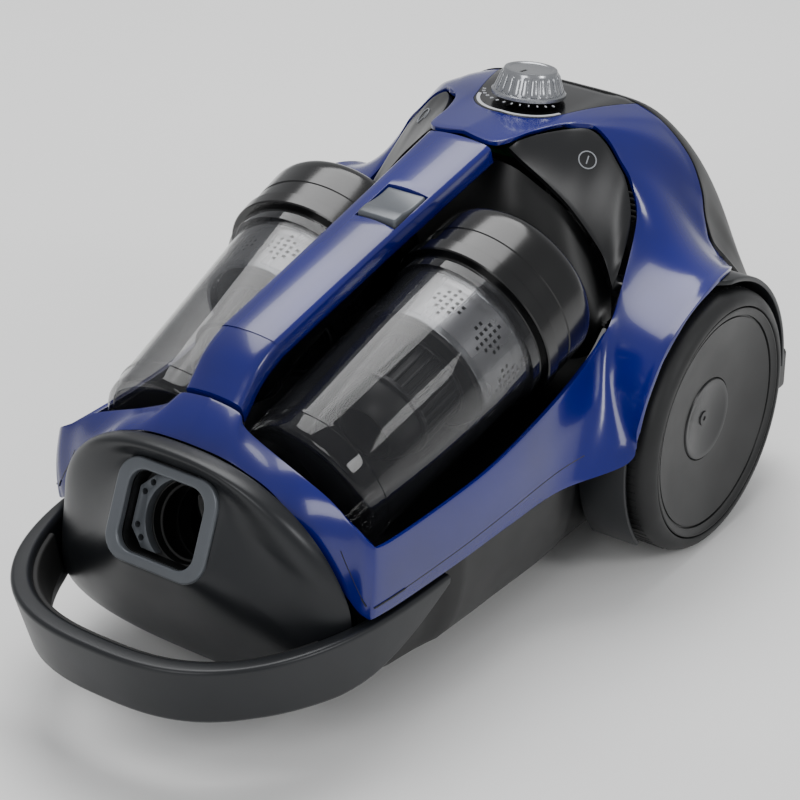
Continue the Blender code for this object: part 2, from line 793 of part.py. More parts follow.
def build_wheel(side, name):
    angles = [-38 + 218 * k / 24 for k in range(25)]
    arch = loft_tube("wheel_arch_" + name, [arch_section(a, side) for a in angles])
    finish(arch, "gunmetal", body)

    centre = at(0, 0, WHEEL_R)
    axis = (side, 0, 0)
    axle = solid_bar("wheel_axle_" + name, AXLE_R, 95, WHEEL_OUT_X - 14, centre, axis)
    finish(axle, "steel", body)

    hinge = pivot("wheel_" + name, centre)
    out = WHEEL_OUT_X
    inner = out - TYRE_W
    r = WHEEL_R
    tyre = turned("tyre_" + name, [
        (CAP_R + 0.6, out), (r - 6, out + 0.5), (r - 1.5, out - 2.5), (r, out - 8),
        (r, inner + 8), (r - 2, inner + 2), (r - 6, inner), (CAP_R - 4, inner),
        (CAP_R - 4, out - 10), (CAP_R + 0.6, out - 9)], centre, axis, WHEEL_STEPS)
    finish(tyre, "rubber", hinge)
    hub_r = CAP_R - 4 - GAP
    hub = turned("wheel_hub_" + name, [
        (hub_r, out - 14), (hub_r, inner + 1), (hub_r - 4, inner + 1), (hub_r - 4, out - 20),
        (14, out - 20), (14, inner + 1), (AXLE_R + 0.4, inner + 1), (AXLE_R + 0.4, out - 14)],
        centre, axis, TURN_STEPS)
    finish(hub, "black", hinge)
    cap = turned("wheel_cap_" + name, [
        (DISC_R + 0.5, out - CAP_DISH), (48, out - 6), (CAP_R - 3, out - 2.2), (CAP_R - 1.5, out),
        (CAP_R, out - 0.8), (CAP_R, out - 4), (50, out - 8.5), (DISC_R + 0.5, out - CAP_DISH - 2.5)],
        centre, axis, WHEEL_STEPS)
    finish(cap, "black", hinge)
    disc = turned("hub_disc_" + name, [
        (0, out - CAP_DISH - 1), (4, out - CAP_DISH - 1.2), (DISC_R - 2, out - CAP_DISH + 0.8),
        (DISC_R, out - CAP_DISH), (DISC_R, out - CAP_DISH - 2.5), (0, out - CAP_DISH - 3.2)],
        centre, axis, TURN_STEPS, closed=False)
    finish(disc, "gunmetal", hinge)


# ---------------------------------------------------------------- caster

def build_caster():
    place = at(0, CASTER_Y, 0)
    up = (0, 0, 1)
    floor = FLOOR_GAP + WALL + GAP
    roof = 42.0
    bowl_r = CASTER_BOWL_R
    bowl = turned("caster_housing", [
        (STEM_R + GAP, roof + 8), (9, roof + 8), (9, roof + 2.5), (bowl_r + 2.5, roof + 2.5),
        (bowl_r + 2.5, floor + 2.5), (bowl_r + 6, floor + 2.5), (bowl_r + 6, floor),
        (bowl_r, floor), (bowl_r, roof), (STEM_R + GAP, roof)], place, up, TURN_STEPS)
    finish(bowl, "black", body)

    swivel = pivot("caster_swivel", place)
    wheel_y = CASTER_Y + CASTER_TRAIL
    leg_in = CASTER_W / 2 + GAP
    leg_out = leg_in + 2.4
    fork = turned("caster_fork", [
        (0, roof + 9), (STEM_R, roof + 9), (STEM_R, roof - GAP), (14, roof - GAP),
        (14, roof - 4), (0, roof - 4)], place, up, PIN_STEPS, closed=False)
    for side in (-1, 1):
        xs = sorted((side * leg_in, side * leg_out))
        leg = box("fork_leg", (xs[0], CASTER_Y - 4, 9), (xs[1], wheel_y + 5, roof - 3))
        cut(fork, cutter(leg), "UNION")
    axle_place = at(0, wheel_y, CASTER_R)
    across = (1, 0, 0)
    cut(fork, cutter(solid_bar("pin_hole", 2.3, -20, 20, axle_place, across, PIN_STEPS)))
    finish(fork, "gunmetal", swivel)

    roller = pivot("caster_axle", axle_place)
    keep_place(roller, swivel)
    pin = solid_bar("caster_pin", 1.9, -leg_out, leg_out, axle_place, across, PIN_STEPS)
    finish(pin, "steel", swivel)
    r, half = CASTER_R, CASTER_W / 2
    wheel = turned("caster_wheel", [
        (2.3, half), (r - 2, half), (r, half - 2), (r, 2 - half), (r - 2, -half), (2.3, -half)],
        axle_place, across, TURN_STEPS)
    finish(wheel, "black", roller)


# ---------------------------------------------------------------- controls

def knob_place():
    """Where the knob's axis meets the dial plate."""
    return at(0, KNOB_Y, 244.6)


def knob_axis():
    return (0, math.sin(KNOB_TILT), math.cos(KNOB_TILT))


def build_knob():
    place, axis = knob_place(), knob_axis()
    hinge = pivot("knob_axis", place)
    base = 1.6
    knob = turned("suction_knob", [
        (0, base + KNOB_H), (KNOB_TOP_R - 2, base + KNOB_H), (KNOB_TOP_R, base + KNOB_H - 1.2),
        (KNOB_R - 1, base + 2.5), (KNOB_R, base + 2), (KNOB_R, base), (4, base), (4, -13),
        (0, -13)], place, axis, WHEEL_STEPS, closed=False)
    finish(knob, "silver", hinge)

    pot = turned("potentiometer", [
        (0, -14), (4.6, -14), (4.6, -8), (9, -8), (9, -20), (0, -20)], place, axis, PIN_STEPS, closed=False)
    finish(pot, "grey", body)
    board = box("control_board", (-38, -6, 214), (38, 50, 215.6))
    finish(board, "board", body)
    switch = box("power_switch", (34, -14, 194), (52, 2, 208), 1)
    finish(switch, "black", body)


PEDAL_RIBS = [
    # rear edge, front edge
    ((28, -39, 241.6), (26, -45, 239.2)),
    ((32.5, -25, 241.9), (34, -43, 232.4)),
    ((41, -8, 241.3), (45, -38, 222)),
    ((50, 2, 240.2), (57, -33.5, 210)),
    ((60, 3.6, 233.8), (66, -31, 199.5)),
    ((68.6, 3, 224.2), (74, -29.5, 189.5)),
    ((76, 1.6, 214.6), (80.5, -29, 181)),
    ((82.6, -2.8, 199.8), (85.5, -31, 174)),
    ((86.4, -11, 186.8), (89.5, -33.5, 168)),
    ((92, -33, 168.6), (92.4, -36, 165)),
]


def build_pedal(side, name, hinge):
    ribs = []
    for rear, front in PEDAL_RIBS:
        a, d = Vector((side * rear[0], *rear[1:])), Vector((side * front[0], *front[1:]))
        crown = Vector((side * 0.8, -0.6, 1.2)) * ((d - a).length / 40)
        ribs.append((a, a + (d - a) / 3 + crown, d - (d - a) / 3 + crown * 1.3, d))
    pedal = sheet_object(name, rib_sheet(ribs, 2, 4))
    solidify(pedal, 4.5, INSIDE)
    finish(pedal, "black", hinge)


# ---------------------------------------------------------------- dust bins

def bin_line(side):
    """Front point and axis of one bin."""
    start = at(side * BIN_X, BIN_Y, BIN_Z)
    return start, Vector((side * BIN_SPREAD, 1.0, BIN_RISE)).normalized()


def bin_centre(y):
    """Across and height of a bin's axis at a place along the machine."""
    return BIN_X + BIN_SPREAD * (y - BIN_Y), BIN_Z + BIN_RISE * (y - BIN_Y)


def spine_height(y):
    """Height of the spine's edges, which rise steeply at the nose."""
    points = [(-283, 172.3), (-276, 180), (-265, 190.5), (-250, 198), (-230, 203), (-53, 243.2)]
    for (y0, z0), (y1, z1) in zip(points, points[1:]):
        if y <= y1:
            return z0 + (z1 - z0) * (y - y0) / (y1 - y0)
    return points[-1][1]


def spine_section(y, half):
    z = spine_height(y)
    lean = Vector((0, -BIN_RISE, 1)).normalized()
    edge = Vector((0, y, z))
    low = [(half - 1.5, -SPINE_T), (half, -SPINE_T + 2)]
    right = low + [(half, -2), (half - 1.2, -0.3), (half * 0.6, SPINE_CROWN * 0.62)]
    ring = right + [(0, SPINE_CROWN)] + [(-x, up) for x, up in reversed(right)]
    return [edge + Vector((x, 0, 0)) + lean * up for x, up in ring]


def build_spine(carrier):
    stations = [-280.8, -276, -270, -264, -257, -250, -240, -230, -200, -165, -130, -95, -70,
                -56.2]
    sections = []
    for y in stations:
        share = (y + 283) / 230
        half = SPINE_HALF_FRONT + (SPINE_HALF_REAR - SPINE_HALF_FRONT) * share ** 2
        sections.append(spine_section(y, half - GAP))
    spine = loft_tube("bin_handle", sections)
    x, y = BUTTON_X, BUTTON_Y
    w, l = BUTTON_W / 2, BUTTON_L / 2
    z = spine_height(y)
    low, high = z - 6, z + 30
    pocket = sloped_box("button_pocket", (x - w, y - l, low), (x + w, y + l, high))
    cut(spine, cutter(pocket))
    finish(spine, "blue", carrier)

    beam = []
    for y in (-255, -225, -190, -155, -128, -100, -72):
        top = spine_height(y) - SPINE_T * 1.05 - 1.0
        bottom = bin_centre(y)[1] + 35.0
        beam.append([(-10, y, bottom), (10, y, bottom), (10, y, max(top, bottom + 4)),
                     (-10, y, max(top, bottom + 4))])
    finish(loft_tube("bin_frame", beam), "black", carrier)


def sloped_box(name, low, high):
    """Box whose top and bottom follow the bin's slope."""
    middle = (low[1] + high[1]) / 2
    sections = []
    for y in (low[1], high[1]):
        shift = BIN_RISE * 0.72 * (y - middle)
        sections.append([(low[0], y, low[2] + shift), (high[0], y, low[2] + shift),
                         (high[0], y, high[2] + shift), (low[0], y, high[2] + shift)])
    return loft_tube(name, sections)


def build_button(carrier):
    z = spine_height(BUTTON_Y)
    hinge = pivot("latch", at(BUTTON_X, BUTTON_Y, z))
    keep_place(hinge, carrier)
    w, l = BUTTON_W / 2 - 0.6, BUTTON_L / 2 - 1.2
    low = z - 6 + 3.4
    button = sloped_box("bin_button", (BUTTON_X - w, BUTTON_Y - l, low),
                        (BUTTON_X + w, BUTTON_Y + l, low + BUTTON_T))
    add_bevel(button, 2.0, 2)
    finish(button, "grey", hinge)


def build_bin(side, name, carrier):
    start, axis = bin_line(side)
    rear_r = CUP_R + CUP_TAPER
    w = CUP_WALL
    cup = turned("cup_" + name, [
        (0, 0), (CUP_R - 4, 0), (CUP_R - 1.2, 1.2), (CUP_R, 4), (rear_r - 0.2, CUP_L - 6),
        (rear_r + 2.5, CUP_L - 6), (rear_r + 2.5, CUP_L), (rear_r - w, CUP_L), (CUP_R - w, 5),
        (CUP_R - w - 3, w + 0.4), (0, w + 0.4)], start, axis, BIN_STEPS, closed=False, climbs=True)
    finish(cup, "smoke", carrier)

    lip = CUP_L + 0.5
    end = lip + COLLAR_L
    r = COLLAR_R
    collar = turned("collar_" + name, [
        (0, lip), (r - 4, lip), (r - 4, lip + 3), (r, lip + 3), (r, lip + 12), (r - 1.5, lip + 13),
        (r - 1.5, end - 6), (r - 3, end), (r - 9, end + 5), (r - 20, end + 10), (r - 32, end + 12),
        (0, end + 12.5)], start, axis, BIN_STEPS, closed=False, climbs=True)
    hollow = [(0, lip - 5), (r - 10, lip - 5), (r - 10, end - 4), (r - 20, end + 3),
              (0, end + 5)]
    inside = turned("collar_hollow", hollow, start, axis, BIN_STEPS, closed=False, climbs=True)
    cut(collar, cutter(inside))
    finish(collar, "black", carrier)

    g_end = CUP_L - 1
    grille = tube("grille_" + name, GRILLE_R, GRILLE_R - 1.6, g_end - GRILLE_L, g_end,
                  start, axis, BIN_STEPS)
    finish(grille, "silver", carrier)
    c = CYCLONE_R
    low = CUP_L - 92
    cone = turned("cyclone_" + name, [
        (c - 2, CUP_L - 2), (c, CUP_L - 2), (c, low + 14), (c - 6, low), (c - 8, low),
        (c - 2, low + 15)], start, axis, TURN_STEPS)
    finish(cone, "black", carrier)


# ---------------------------------------------------------------- motor and cord drum

def build_motor():
    front = at(MOTOR_X, 0, MOTOR_Z)
    axis = (0, 1, 0)
    r = MOTOR_R
    y0, y1 = MOTOR_Y
    shell = turned("motor_housing", [
        (r - 11, y1), (r - 8, y1), (r - 8, y1 - 20), (r, y1 - 28), (r, y0), (20, y0), (20, y0 + 3),
        (r - 3, y0 + 3), (r - 3, y1 - 29.5), (r - 11, y1 - 21)], front, axis, TURN_STEPS)
    finish(shell, "black", body)
    mount = tube("motor_mount", r + 6, r + GAP, y0 + 4, y0 + 14, front, axis, TURN_STEPS)
    finish(mount, "rubber", body)

    spin = pivot("rotor", front)
    shaft = solid_bar("motor_shaft", 4, y0 + 4, y1 - 4, front, axis, PIN_STEPS)
    finish(shaft, "steel", spin)
    fan = tube("fan", r - 8, 4.4, y0 + 6, y0 + 16, front, axis, TURN_STEPS)
    finish(fan, "silver", spin)
    armature = tube("armature", 26, 4.4, y0 + 28, y1 - 14, front, axis, TURN_STEPS)
    finish(armature, "copper", spin)


def build_drum():
    place = at(0, DRUM_Y, DRUM_Z)
    across = (1, 0, 0)
    inner, outer = DRUM_X - DRUM_W / 2, DRUM_X + DRUM_W / 2
    bracket = box("reel_bracket", (outer + 5, DRUM_Y - 26, 55), (outer + 8, DRUM_Y + 26, 150))
    pin = solid_bar("reel_pin", 6, inner - 2, outer + 6, place, across, PIN_STEPS)
    cut(bracket, cutter(pin), "UNION")
    finish(bracket, "steel", body)
    spin = pivot("cord_reel", place)
    drum = turned("cord_drum", [
        (6.5, outer), (DRUM_R, outer), (DRUM_R, outer - 2.5), (25, outer - 2.5),
        (25, inner + 2.5), (DRUM_R, inner + 2.5), (DRUM_R, inner), (6.5, inner)], place, across, TURN_STEPS)
    finish(drum, "grey", spin)


def build_filters():
    front = box("pre_filter", (-78, -20, 50), (36, -5, 146), 2)
    finish(front, "foam", body)
    rear = box("exhaust_filter", (-62, 95, 58), (28, 103, 140), 2)
    finish(rear, "foam", body)


# ---------------------------------------------------------------- assembly

def main():
    build_upper_cover()
    build_nose()
    build_port()
    build_chassis()
    build_handle()
    build_bay()
    build_rear()
    for side, name in ((-1, "left"), (1, "right")):
        build_wheel(side, name)
    build_caster()
    build_knob()
    power = pivot("power_press", at(55, -15, 222))
    build_pedal(1, "power_pedal", power)
    rewind = pivot("rewind_press", at(-55, -15, 222))
    build_pedal(-1, "rewind_pedal", rewind)
    carrier = pivot("dust_bin", at(0, BIN_Y, BIN_Z))
    build_spine(carrier)
    build_button(carrier)
    for side, name in ((-1, "left"), (1, "right")):
        build_bin(side, name, carrier)
    build_motor()
    build_drum()
    build_filters()


clear_scene()
parts = new_collection("canister_vacuum")
cutters = new_collection("cutters")
body = pivot("body", Vector((0, 0, 0)))
main()
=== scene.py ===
"""Visual model of a bagless canister vacuum cleaner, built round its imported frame.

Sizes are in millimetres. X runs across the machine, +Y from the nose to the tail and Z up,
and every place along Y is given from the rear axle, as on the shell's drawings. The function
at() turns such a place into a point of the frame in metres.
"""
from __future__ import annotations

import logging
import math
from dataclasses import dataclass
from enum import Enum
from typing import Any, Callable, Iterator, Optional, Sequence

import bmesh
import bpy
from mathutils import Matrix, Vector

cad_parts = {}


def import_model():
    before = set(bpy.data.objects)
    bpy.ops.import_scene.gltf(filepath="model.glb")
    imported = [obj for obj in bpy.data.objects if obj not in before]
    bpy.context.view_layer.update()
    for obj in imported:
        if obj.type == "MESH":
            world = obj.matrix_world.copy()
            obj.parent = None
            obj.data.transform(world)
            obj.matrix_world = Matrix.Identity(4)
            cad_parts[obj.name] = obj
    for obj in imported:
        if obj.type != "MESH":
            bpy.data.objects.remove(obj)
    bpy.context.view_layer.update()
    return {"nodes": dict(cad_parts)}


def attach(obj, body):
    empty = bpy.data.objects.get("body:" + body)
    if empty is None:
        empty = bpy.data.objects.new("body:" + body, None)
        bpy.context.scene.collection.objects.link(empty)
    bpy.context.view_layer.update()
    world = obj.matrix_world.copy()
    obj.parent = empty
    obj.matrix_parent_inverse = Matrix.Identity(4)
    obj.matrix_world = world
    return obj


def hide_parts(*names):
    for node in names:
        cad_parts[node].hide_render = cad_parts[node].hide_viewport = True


LOG = logging.getLogger("canister")

MM = 0.001
AXLE_Y = 134.95
WHEEL_R = 80.0
BELT_Z = 82.0
DECK_Y = 58.0
WALL = 2.5
ROUND_STEPS = 96
WIDE_STEPS = 144

Point = tuple[float, float, float]
Rows = list[list[Vector]]
Profile = Sequence[tuple[float, float]]


class Side(Enum):
    """Left or right of the machine, seen from in front of its nose."""

    LEFT = -1
    RIGHT = 1

    @property
    def label(self) -> str:
        """Word used in piece and node names."""
        return self.name.lower()


# ------------------------------------------------------------------ finishes

def linear(hex_colour: str) -> tuple[float, float, float, float]:
    """Turn an sRGB hex colour into linear RGBA.

    Args:
        hex_colour: colour such as "#1A2B3C".

    Returns:
        Linear red, green, blue and an alpha of one.
    """
    channels = [int(hex_colour[i:i + 2], 16) / 255 for i in (1, 3, 5)]
    r, g, b = (c / 12.92 if c <= 0.04045 else ((c + 0.055) / 1.055) ** 2.4 for c in channels)
    return (r, g, b, 1.0)


def add_node(tree: bpy.types.NodeTree, kind: str, settings: Optional[dict[Any, Any]] = None,
             links: Optional[dict[Any, tuple[bpy.types.Node, Any]]] = None) -> bpy.types.Node:
    """Add a node with its settings and its links.

    Args:
        tree: node tree that takes the node.
        kind: the node's type name.
        settings: attribute or input names, or input numbers, and their values.
        links: input names or numbers, each with the source node and its output.

    Returns:
        The new node.
    """
    made = tree.nodes.new(kind)
    for key, value in (settings or {}).items():
        if isinstance(key, int) or key in made.inputs:
            made.inputs[key].default_value = value
        else:
            setattr(made, key, value)
    for key, (source, output) in (links or {}).items():
        tree.links.new(source.outputs[output], made.inputs[key])
    return made


@dataclass(frozen=True)
class Finish:
    """A solid surface whose colour, gloss and relief vary a little from place to place.

    The two colours are mixed over mottle_mm, and the roughness drifts by drift either way.
    The relief is grain_mm across and relief_mm deep, and stretch pulls it out along an axis,
    as brushing or turning does.
    """

    name: str
    colour: str
    shade: str
    roughness: float
    drift: float = 0.04
    metallic: float = 0.0
    ior: float = 1.5
    coat: float = 0.0
    mottle_mm: float = 45.0
    grain_mm: float = 1.2
    relief_mm: float = 0.01
    strength: float = 0.15
    stretch: Point = (1.0, 1.0, 1.0)

    def material(self) -> bpy.types.Material:
        """Build the material, or return it if it exists.

        Returns:
            The procedural material.
        """
        found = bpy.data.materials.get(self.name)
        if found:
            return found
        made = bpy.data.materials.new(self.name)
        made.use_nodes = True
        tree = made.node_tree
        tree.nodes.clear()
        place = add_node(tree, "ShaderNodeTexCoord")
        pulled = add_node(tree, "ShaderNodeMapping", {"Scale": self.stretch},
                          {"Vector": (place, "Object")})
        mottle = add_node(tree, "ShaderNodeTexNoise", {"Scale": 1000 / self.mottle_mm,
                                                       "Detail": 3.0}, {"Vector": (pulled, 0)})
        grain = add_node(tree, "ShaderNodeTexNoise", {"Scale": 1000 / self.grain_mm,
                                                      "Detail": 2.0}, {"Vector": (pulled, 0)})
        share = add_node(tree, "ShaderNodeMapRange", {"From Min": 0.35, "From Max": 0.65},
                         {"Value": (mottle, 0)})
        colour = add_node(tree, "ShaderNodeMix", {"data_type": "RGBA", 6: linear(self.colour),
                                                  7: linear(self.shade)}, {0: (share, 0)})
        rough = add_node(tree, "ShaderNodeMapRange",
                         {"From Min": 0.3, "From Max": 0.7, "To Min": self.roughness - self.drift,
                          "To Max": self.roughness + self.drift}, {"Value": (mottle, 0)})
        bump = add_node(tree, "ShaderNodeBump", {"Strength": self.strength,
                                                 "Distance": self.relief_mm * MM},
                        {"Height": (grain, 0)})
        shader = add_node(tree, "ShaderNodeBsdfPrincipled",
                          {"Metallic": self.metallic, "IOR": self.ior, "Coat Weight": self.coat,
                           "Coat Roughness": 0.03},
                          {"Base Color": (colour, 2), "Roughness": (rough, 0),
                           "Normal": (bump, 0)})
        self.extend(tree, shader, place)
        add_node(tree, "ShaderNodeOutputMaterial", None, {"Surface": (shader, 0)})
        return made

    def extend(self, tree: bpy.types.NodeTree, shader: bpy.types.Node,
               place: bpy.types.Node) -> None:
        """Add what a special finish needs; a plain one needs nothing."""


@dataclass(frozen=True)
class ClearFinish(Finish):
    """Clear moulding that lets light through, more so where it is seen square on."""

    thin: float = 0.2
    thick: float = 0.85

    def extend(self, tree: bpy.types.NodeTree, shader: bpy.types.Node,
               place: bpy.types.Node) -> None:
        """Drive the surface's opacity by the angle that it is seen at.

        Args:
            tree: the material's node tree.
            shader: its surface shader.
            place: its texture coordinates.
        """
        facing = add_node(tree, "ShaderNodeLayerWeight", {"Blend": 0.35})
        alpha = add_node(tree, "ShaderNodeMapRange",
                         {"To Min": self.thin, "To Max": self.thick}, {"Value": (facing, 1)})
        tree.links.new(alpha.outputs[0], shader.inputs["Alpha"])


@dataclass(frozen=True)
class PoreFinish(Finish):
    """Open-cell or pressed material with pits of a given size."""

    pore_mm: float = 2.0

    def extend(self, tree: bpy.types.NodeTree, shader: bpy.types.Node,
               place: bpy.types.Node) -> None:
        """Put the pits in the place of the grain.

        Args:
            tree: the material's node tree.
            shader: its surface shader.
            place: its texture coordinates.
        """
        cells = add_node(tree, "ShaderNodeTexVoronoi", {"Scale": 1000 / self.pore_mm},
                         {"Vector": (place, "Object")})
        pits = add_node(tree, "ShaderNodeBump", {"Strength": 0.7, "Distance": 0.4 * MM},
                        {"Height": (cells, 0)})
        tree.links.new(pits.outputs[0], shader.inputs["Normal"])


# Blue ABS, moulded in a polished tool and lacquered: deep colour under a thin clear coat
GLOSS_BLUE = Finish("abs_gloss_blue", "#020C6E", "#02095C", 0.22, 0.03, coat=0.3, ior=1.5,
                    mottle_mm=90, grain_mm=2.2, relief_mm=0.01, strength=0.06)
# Dark grey ABS with a satin metallic paint: soft, broad highlights and a faint flake
SATIN_GUNMETAL = Finish("abs_satin_gunmetal", "#1E2023", "#1A1C1F", 0.36, 0.04, metallic=0.25,
                        grain_mm=0.9, relief_mm=0.012, strength=0.14)
# Mid grey ABS on the bezel and latch: a clean satin moulding
SATIN_GREY = Finish("abs_satin_grey", "#5A5E63", "#53575C", 0.33, 0.04, metallic=0.3,
                    grain_mm=0.9, relief_mm=0.01, strength=0.12)
# Near-black ABS from a fine spark-eroded tool: sheen without clear reflections
GRAINED_BLACK = Finish("abs_grained_black", "#0A0B0C", "#070809", 0.44, 0.05, grain_mm=0.8,
                       relief_mm=0.012, strength=0.15)
# Black ABS with a polished skin, as on the bin's collars and the dial plate
POLISHED_BLACK = Finish("abs_polished_black", "#060708", "#050506", 0.2, 0.04, coat=0.1,
                        grain_mm=1.6, relief_mm=0.008, strength=0.08)
# Dark grey pedals, satin and a little lighter than the bay
SATIN_CHARCOAL = Finish("abs_satin_charcoal", "#17181A", "#131416", 0.32, 0.04, metallic=0.1,
                        grain_mm=0.8, relief_mm=0.012, strength=0.14)
# Polyurethane tyre: matt, dusty, slightly lighter where it is worn
WHEEL_RUBBER = Finish("polyurethane_tyre", "#131415", "#0F1011", 0.55, 0.06, grain_mm=1.0,
                      relief_mm=0.05, strength=0.3, mottle_mm=25)
# Moulded black rubber seals and strips
SEAL_RUBBER = Finish("nitrile_seal_rubber", "#141414", "#101010", 0.7, 0.06, grain_mm=0.8,
                     relief_mm=0.05, strength=0.3)
# Satin-anodised look on the knob and rings: vacuum-metallised, with fine turning lines round Z
SATIN_SILVER = Finish("metallised_satin_silver", "#A4A6A9", "#94969A", 0.24, 0.05, metallic=0.9,
                      grain_mm=1.4, relief_mm=0.02, strength=0.12, stretch=(1.0, 1.0, 4.0))
# Perforated screen, rolled from thin stainless sheet and brushed along its length
BRUSHED_SCREEN = Finish("brushed_stainless_screen", "#B9BABD", "#A6A7AB", 0.28, 0.06,
                        metallic=0.9, grain_mm=1.6, relief_mm=0.02, strength=0.15,
                        stretch=(5.0, 1.0, 1.0))
# Turned or pressed mild steel with fine tool marks
TURNED_STEEL = Finish("zinc_plated_steel", "#A9ABAE", "#94969A", 0.3, 0.06, metallic=1.0,
                      grain_mm=1.2, relief_mm=0.03, strength=0.2, stretch=(6.0, 1.0, 1.0))
# Smoke-tinted polycarbonate: nearly clear square on, dark and mirror-like at its edges
SMOKED_CUP = ClearFinish("polycarbonate_smoke", "#26272B", "#212226", 0.05, 0.015, coat=1.0,
                         ior=1.58, grain_mm=6.0, relief_mm=0.01, strength=0.03,
                         thin=0.2, thick=0.8)
# Grey nylon on the reel and the potentiometer
REEL_NYLON = Finish("nylon_grey", "#808287", "#75777C", 0.45, 0.05, relief_mm=0.02)
# Polyester filter foam with open cells of about two millimetres
FILTER_FOAM = PoreFinish("polyester_filter_foam", "#3C3D45", "#2F3037", 0.9, 0.05, pore_mm=2.2)
# Enamelled copper windings: fine coils with a warm satin shine
ENAMEL_COPPER = Finish("enamelled_copper", "#B4713F", "#8E5228", 0.35, 0.08, metallic=0.9,
                       grain_mm=1.0, relief_mm=0.2, strength=0.5, stretch=(1.0, 0.1, 1.0))
# Glass-epoxy board under green solder mask
SOLDER_MASK = Finish("solder_mask_green", "#1E5A38", "#174A2D", 0.35, 0.05, grain_mm=0.8)
# Pale grey pad-printed ink of the pedals' symbols
PRINT_INK = Finish("pad_print_ink", "#8A8D92", "#83868B", 0.5, 0.04, grain_mm=0.5)
# Brighter ink of the dial's arc and ticks
SCALE_INK = Finish("pad_print_silver", "#D4D6D9", "#C6C8CC", 0.4, 0.04, metallic=0.3)
# Warm white floor of the studio
STUDIO_FLOOR = Finish("studio_floor", "#F4F4F3", "#F0F0EF", 0.7, 0.05, mottle_mm=400)


# ------------------------------------------------------------------ meshes

def at(x: float, y: float, z: float) -> Vector:
    """Point of the frame, in metres, for a place in millimetres from the axle."""
    return Vector((x, y + AXLE_Y, z)) * MM


def local(x: float, y: float, z: float) -> Vector:
    """Place, for loft and block, of a shape that is made at the origin and moved later."""
    return Vector((x, y, z)) - Vector((0, AXLE_Y, 0))


def show(name: str, data: bpy.types.ID) -> bpy.types.Object:
    """Make an object that holds some data, and link it to the scene."""
    made = bpy.data.objects.new(name, data)
    bpy.context.scene.collection.objects.link(made)
    return made


def make_object(name: str, verts: Sequence[Vector], faces: Sequence[Sequence[int]],
                metres: bool = False) -> bpy.types.Object:
    """Make an object from points and faces, merged and with its faces outwards.

    Args:
        name: the object's name.
        verts: its points, in millimetres from the axle unless metres is set.
        faces: its faces, as lists of point numbers.
        metres: whether the points are in metres already.

    Returns:
        The object, linked to the scene.
    """
    mesh = bpy.data.meshes.new(name)
    mesh.from_pydata([v if metres else at(*v) for v in verts], [], faces)
    shape = bmesh.new()
    shape.from_mesh(mesh)
    bmesh.ops.remove_doubles(shape, verts=shape.verts, dist=1e-6)
    bmesh.ops.recalc_face_normals(shape, faces=shape.faces)
    shape.to_mesh(mesh)
    shape.free()
    return show(name, mesh)


def spline(values: Sequence[Vector], steps: int, loop: bool = False) -> list[Vector]:
    """Smooth curve through points.

    Args:
        values: the points it passes.
        steps: pieces between two of them.
        loop: whether the last point joins the first.

    Returns:
        The curve's points.
    """
    count = len(values)
    spans = count if loop else count - 1
    line: list[Vector] = []
    for i in range(spans):
        picks = [(i - 1 + k) % count if loop else min(max(i - 1 + k, 0), count - 1)
                 for k in range(4)]
        p0, p1, p2, p3 = (values[k] for k in picks)
        for k in range(steps):
            t = k / steps
            line.append(0.5 * ((2 * p1) + (p2 - p0) * t + (2 * p0 - 5 * p1 + 4 * p2 - p3) * t * t
                               + (3 * p1 - p0 - 3 * p2 + p3) * t ** 3))
    if not loop:
        line.append(values[-1].copy())
    return line


def bezier(a: Vector, b: Vector, c: Vector, d: Vector, t: float) -> Vector:
    """Point of a cubic Bezier curve at t, from 0 to 1."""
    u = 1 - t
    return a * u ** 3 + b * 3 * u * u * t + c * 3 * u * t * t + d * t ** 3


def rib_rows(ribs: Sequence[Sequence[Vector]], along: int, across: int,
             loop: bool = False) -> Rows:
    """Points of a surface lofted over Bezier ribs.

    Args:
        ribs: start, two handles and end of each rib.
        along: pieces from one rib to the next.
        across: pieces along a rib.
        loop: whether the last rib joins the first.

    Returns:
        Rows of points.
    """
    tracks = [spline([Vector(rib[k]) for rib in ribs], along, loop) for k in range(4)]
    return [[bezier(a, b, c, d, k / across) for k in range(across + 1)]
            for a, b, c, d in zip(*tracks)]


def relax(rows: Rows, first: int, last: int, rounds: int) -> Rows:
    """Ease the folds of part of a surface, and leave its edges where they are.

    Args:
        rows: rows of points.
        first: the last row before the eased part.
        last: the first row after it.
        rounds: how many times each inner point moves towards its neighbours.

    Returns:
        The rows, with that part eased.
    """
    for _ in range(rounds):
        eased = [list(row) for row in rows]
        for i in range(first + 1, last):
            for k in range(1, len(rows[i]) - 1):
                eased[i][k] = rows[i][k] * 0.5 + (rows[i - 1][k] + rows[i + 1][k]) * 0.25
        rows = eased
    return rows


def sheet(name: str, rows: Rows, loop: bool = False) -> bpy.types.Object:
    """Open surface through rows of points in millimetres.

    Args:
        name: the object's name.
        rows: rows of equally many points.
        loop: whether the last row joins the first.

    Returns:
        The object.
    """
    width = len(rows[0])
    faces = []
    for i in range(len(rows) - (0 if loop else 1)):
        j = (i + 1) % len(rows)
        faces += [(i * width + k, j * width + k, j * width + k + 1, i * width + k + 1)
                  for k in range(width - 1)]
    return make_object(name, [p for row in rows for p in row], faces)


def loft(name: str, sections: Sequence[Sequence[Vector]]) -> bpy.types.Object:
    """Closed solid through rings of equally many points in millimetres.

    Args:
        name: the object's name.
        sections: the rings, from one end to the other.

    Returns:
        The object.
    """
    width = len(sections[0])
    faces: list[Sequence[int]] = []
    for i in range(len(sections) - 1):
        faces += [(i * width + k, i * width + (k + 1) % width,
                   (i + 1) * width + (k + 1) % width, (i + 1) * width + k) for k in range(width)]
    faces.append(tuple(range(width)))
    faces.append(tuple(range((len(sections) - 1) * width, len(sections) * width)))
    return make_object(name, [p for ring in sections for p in ring], faces)


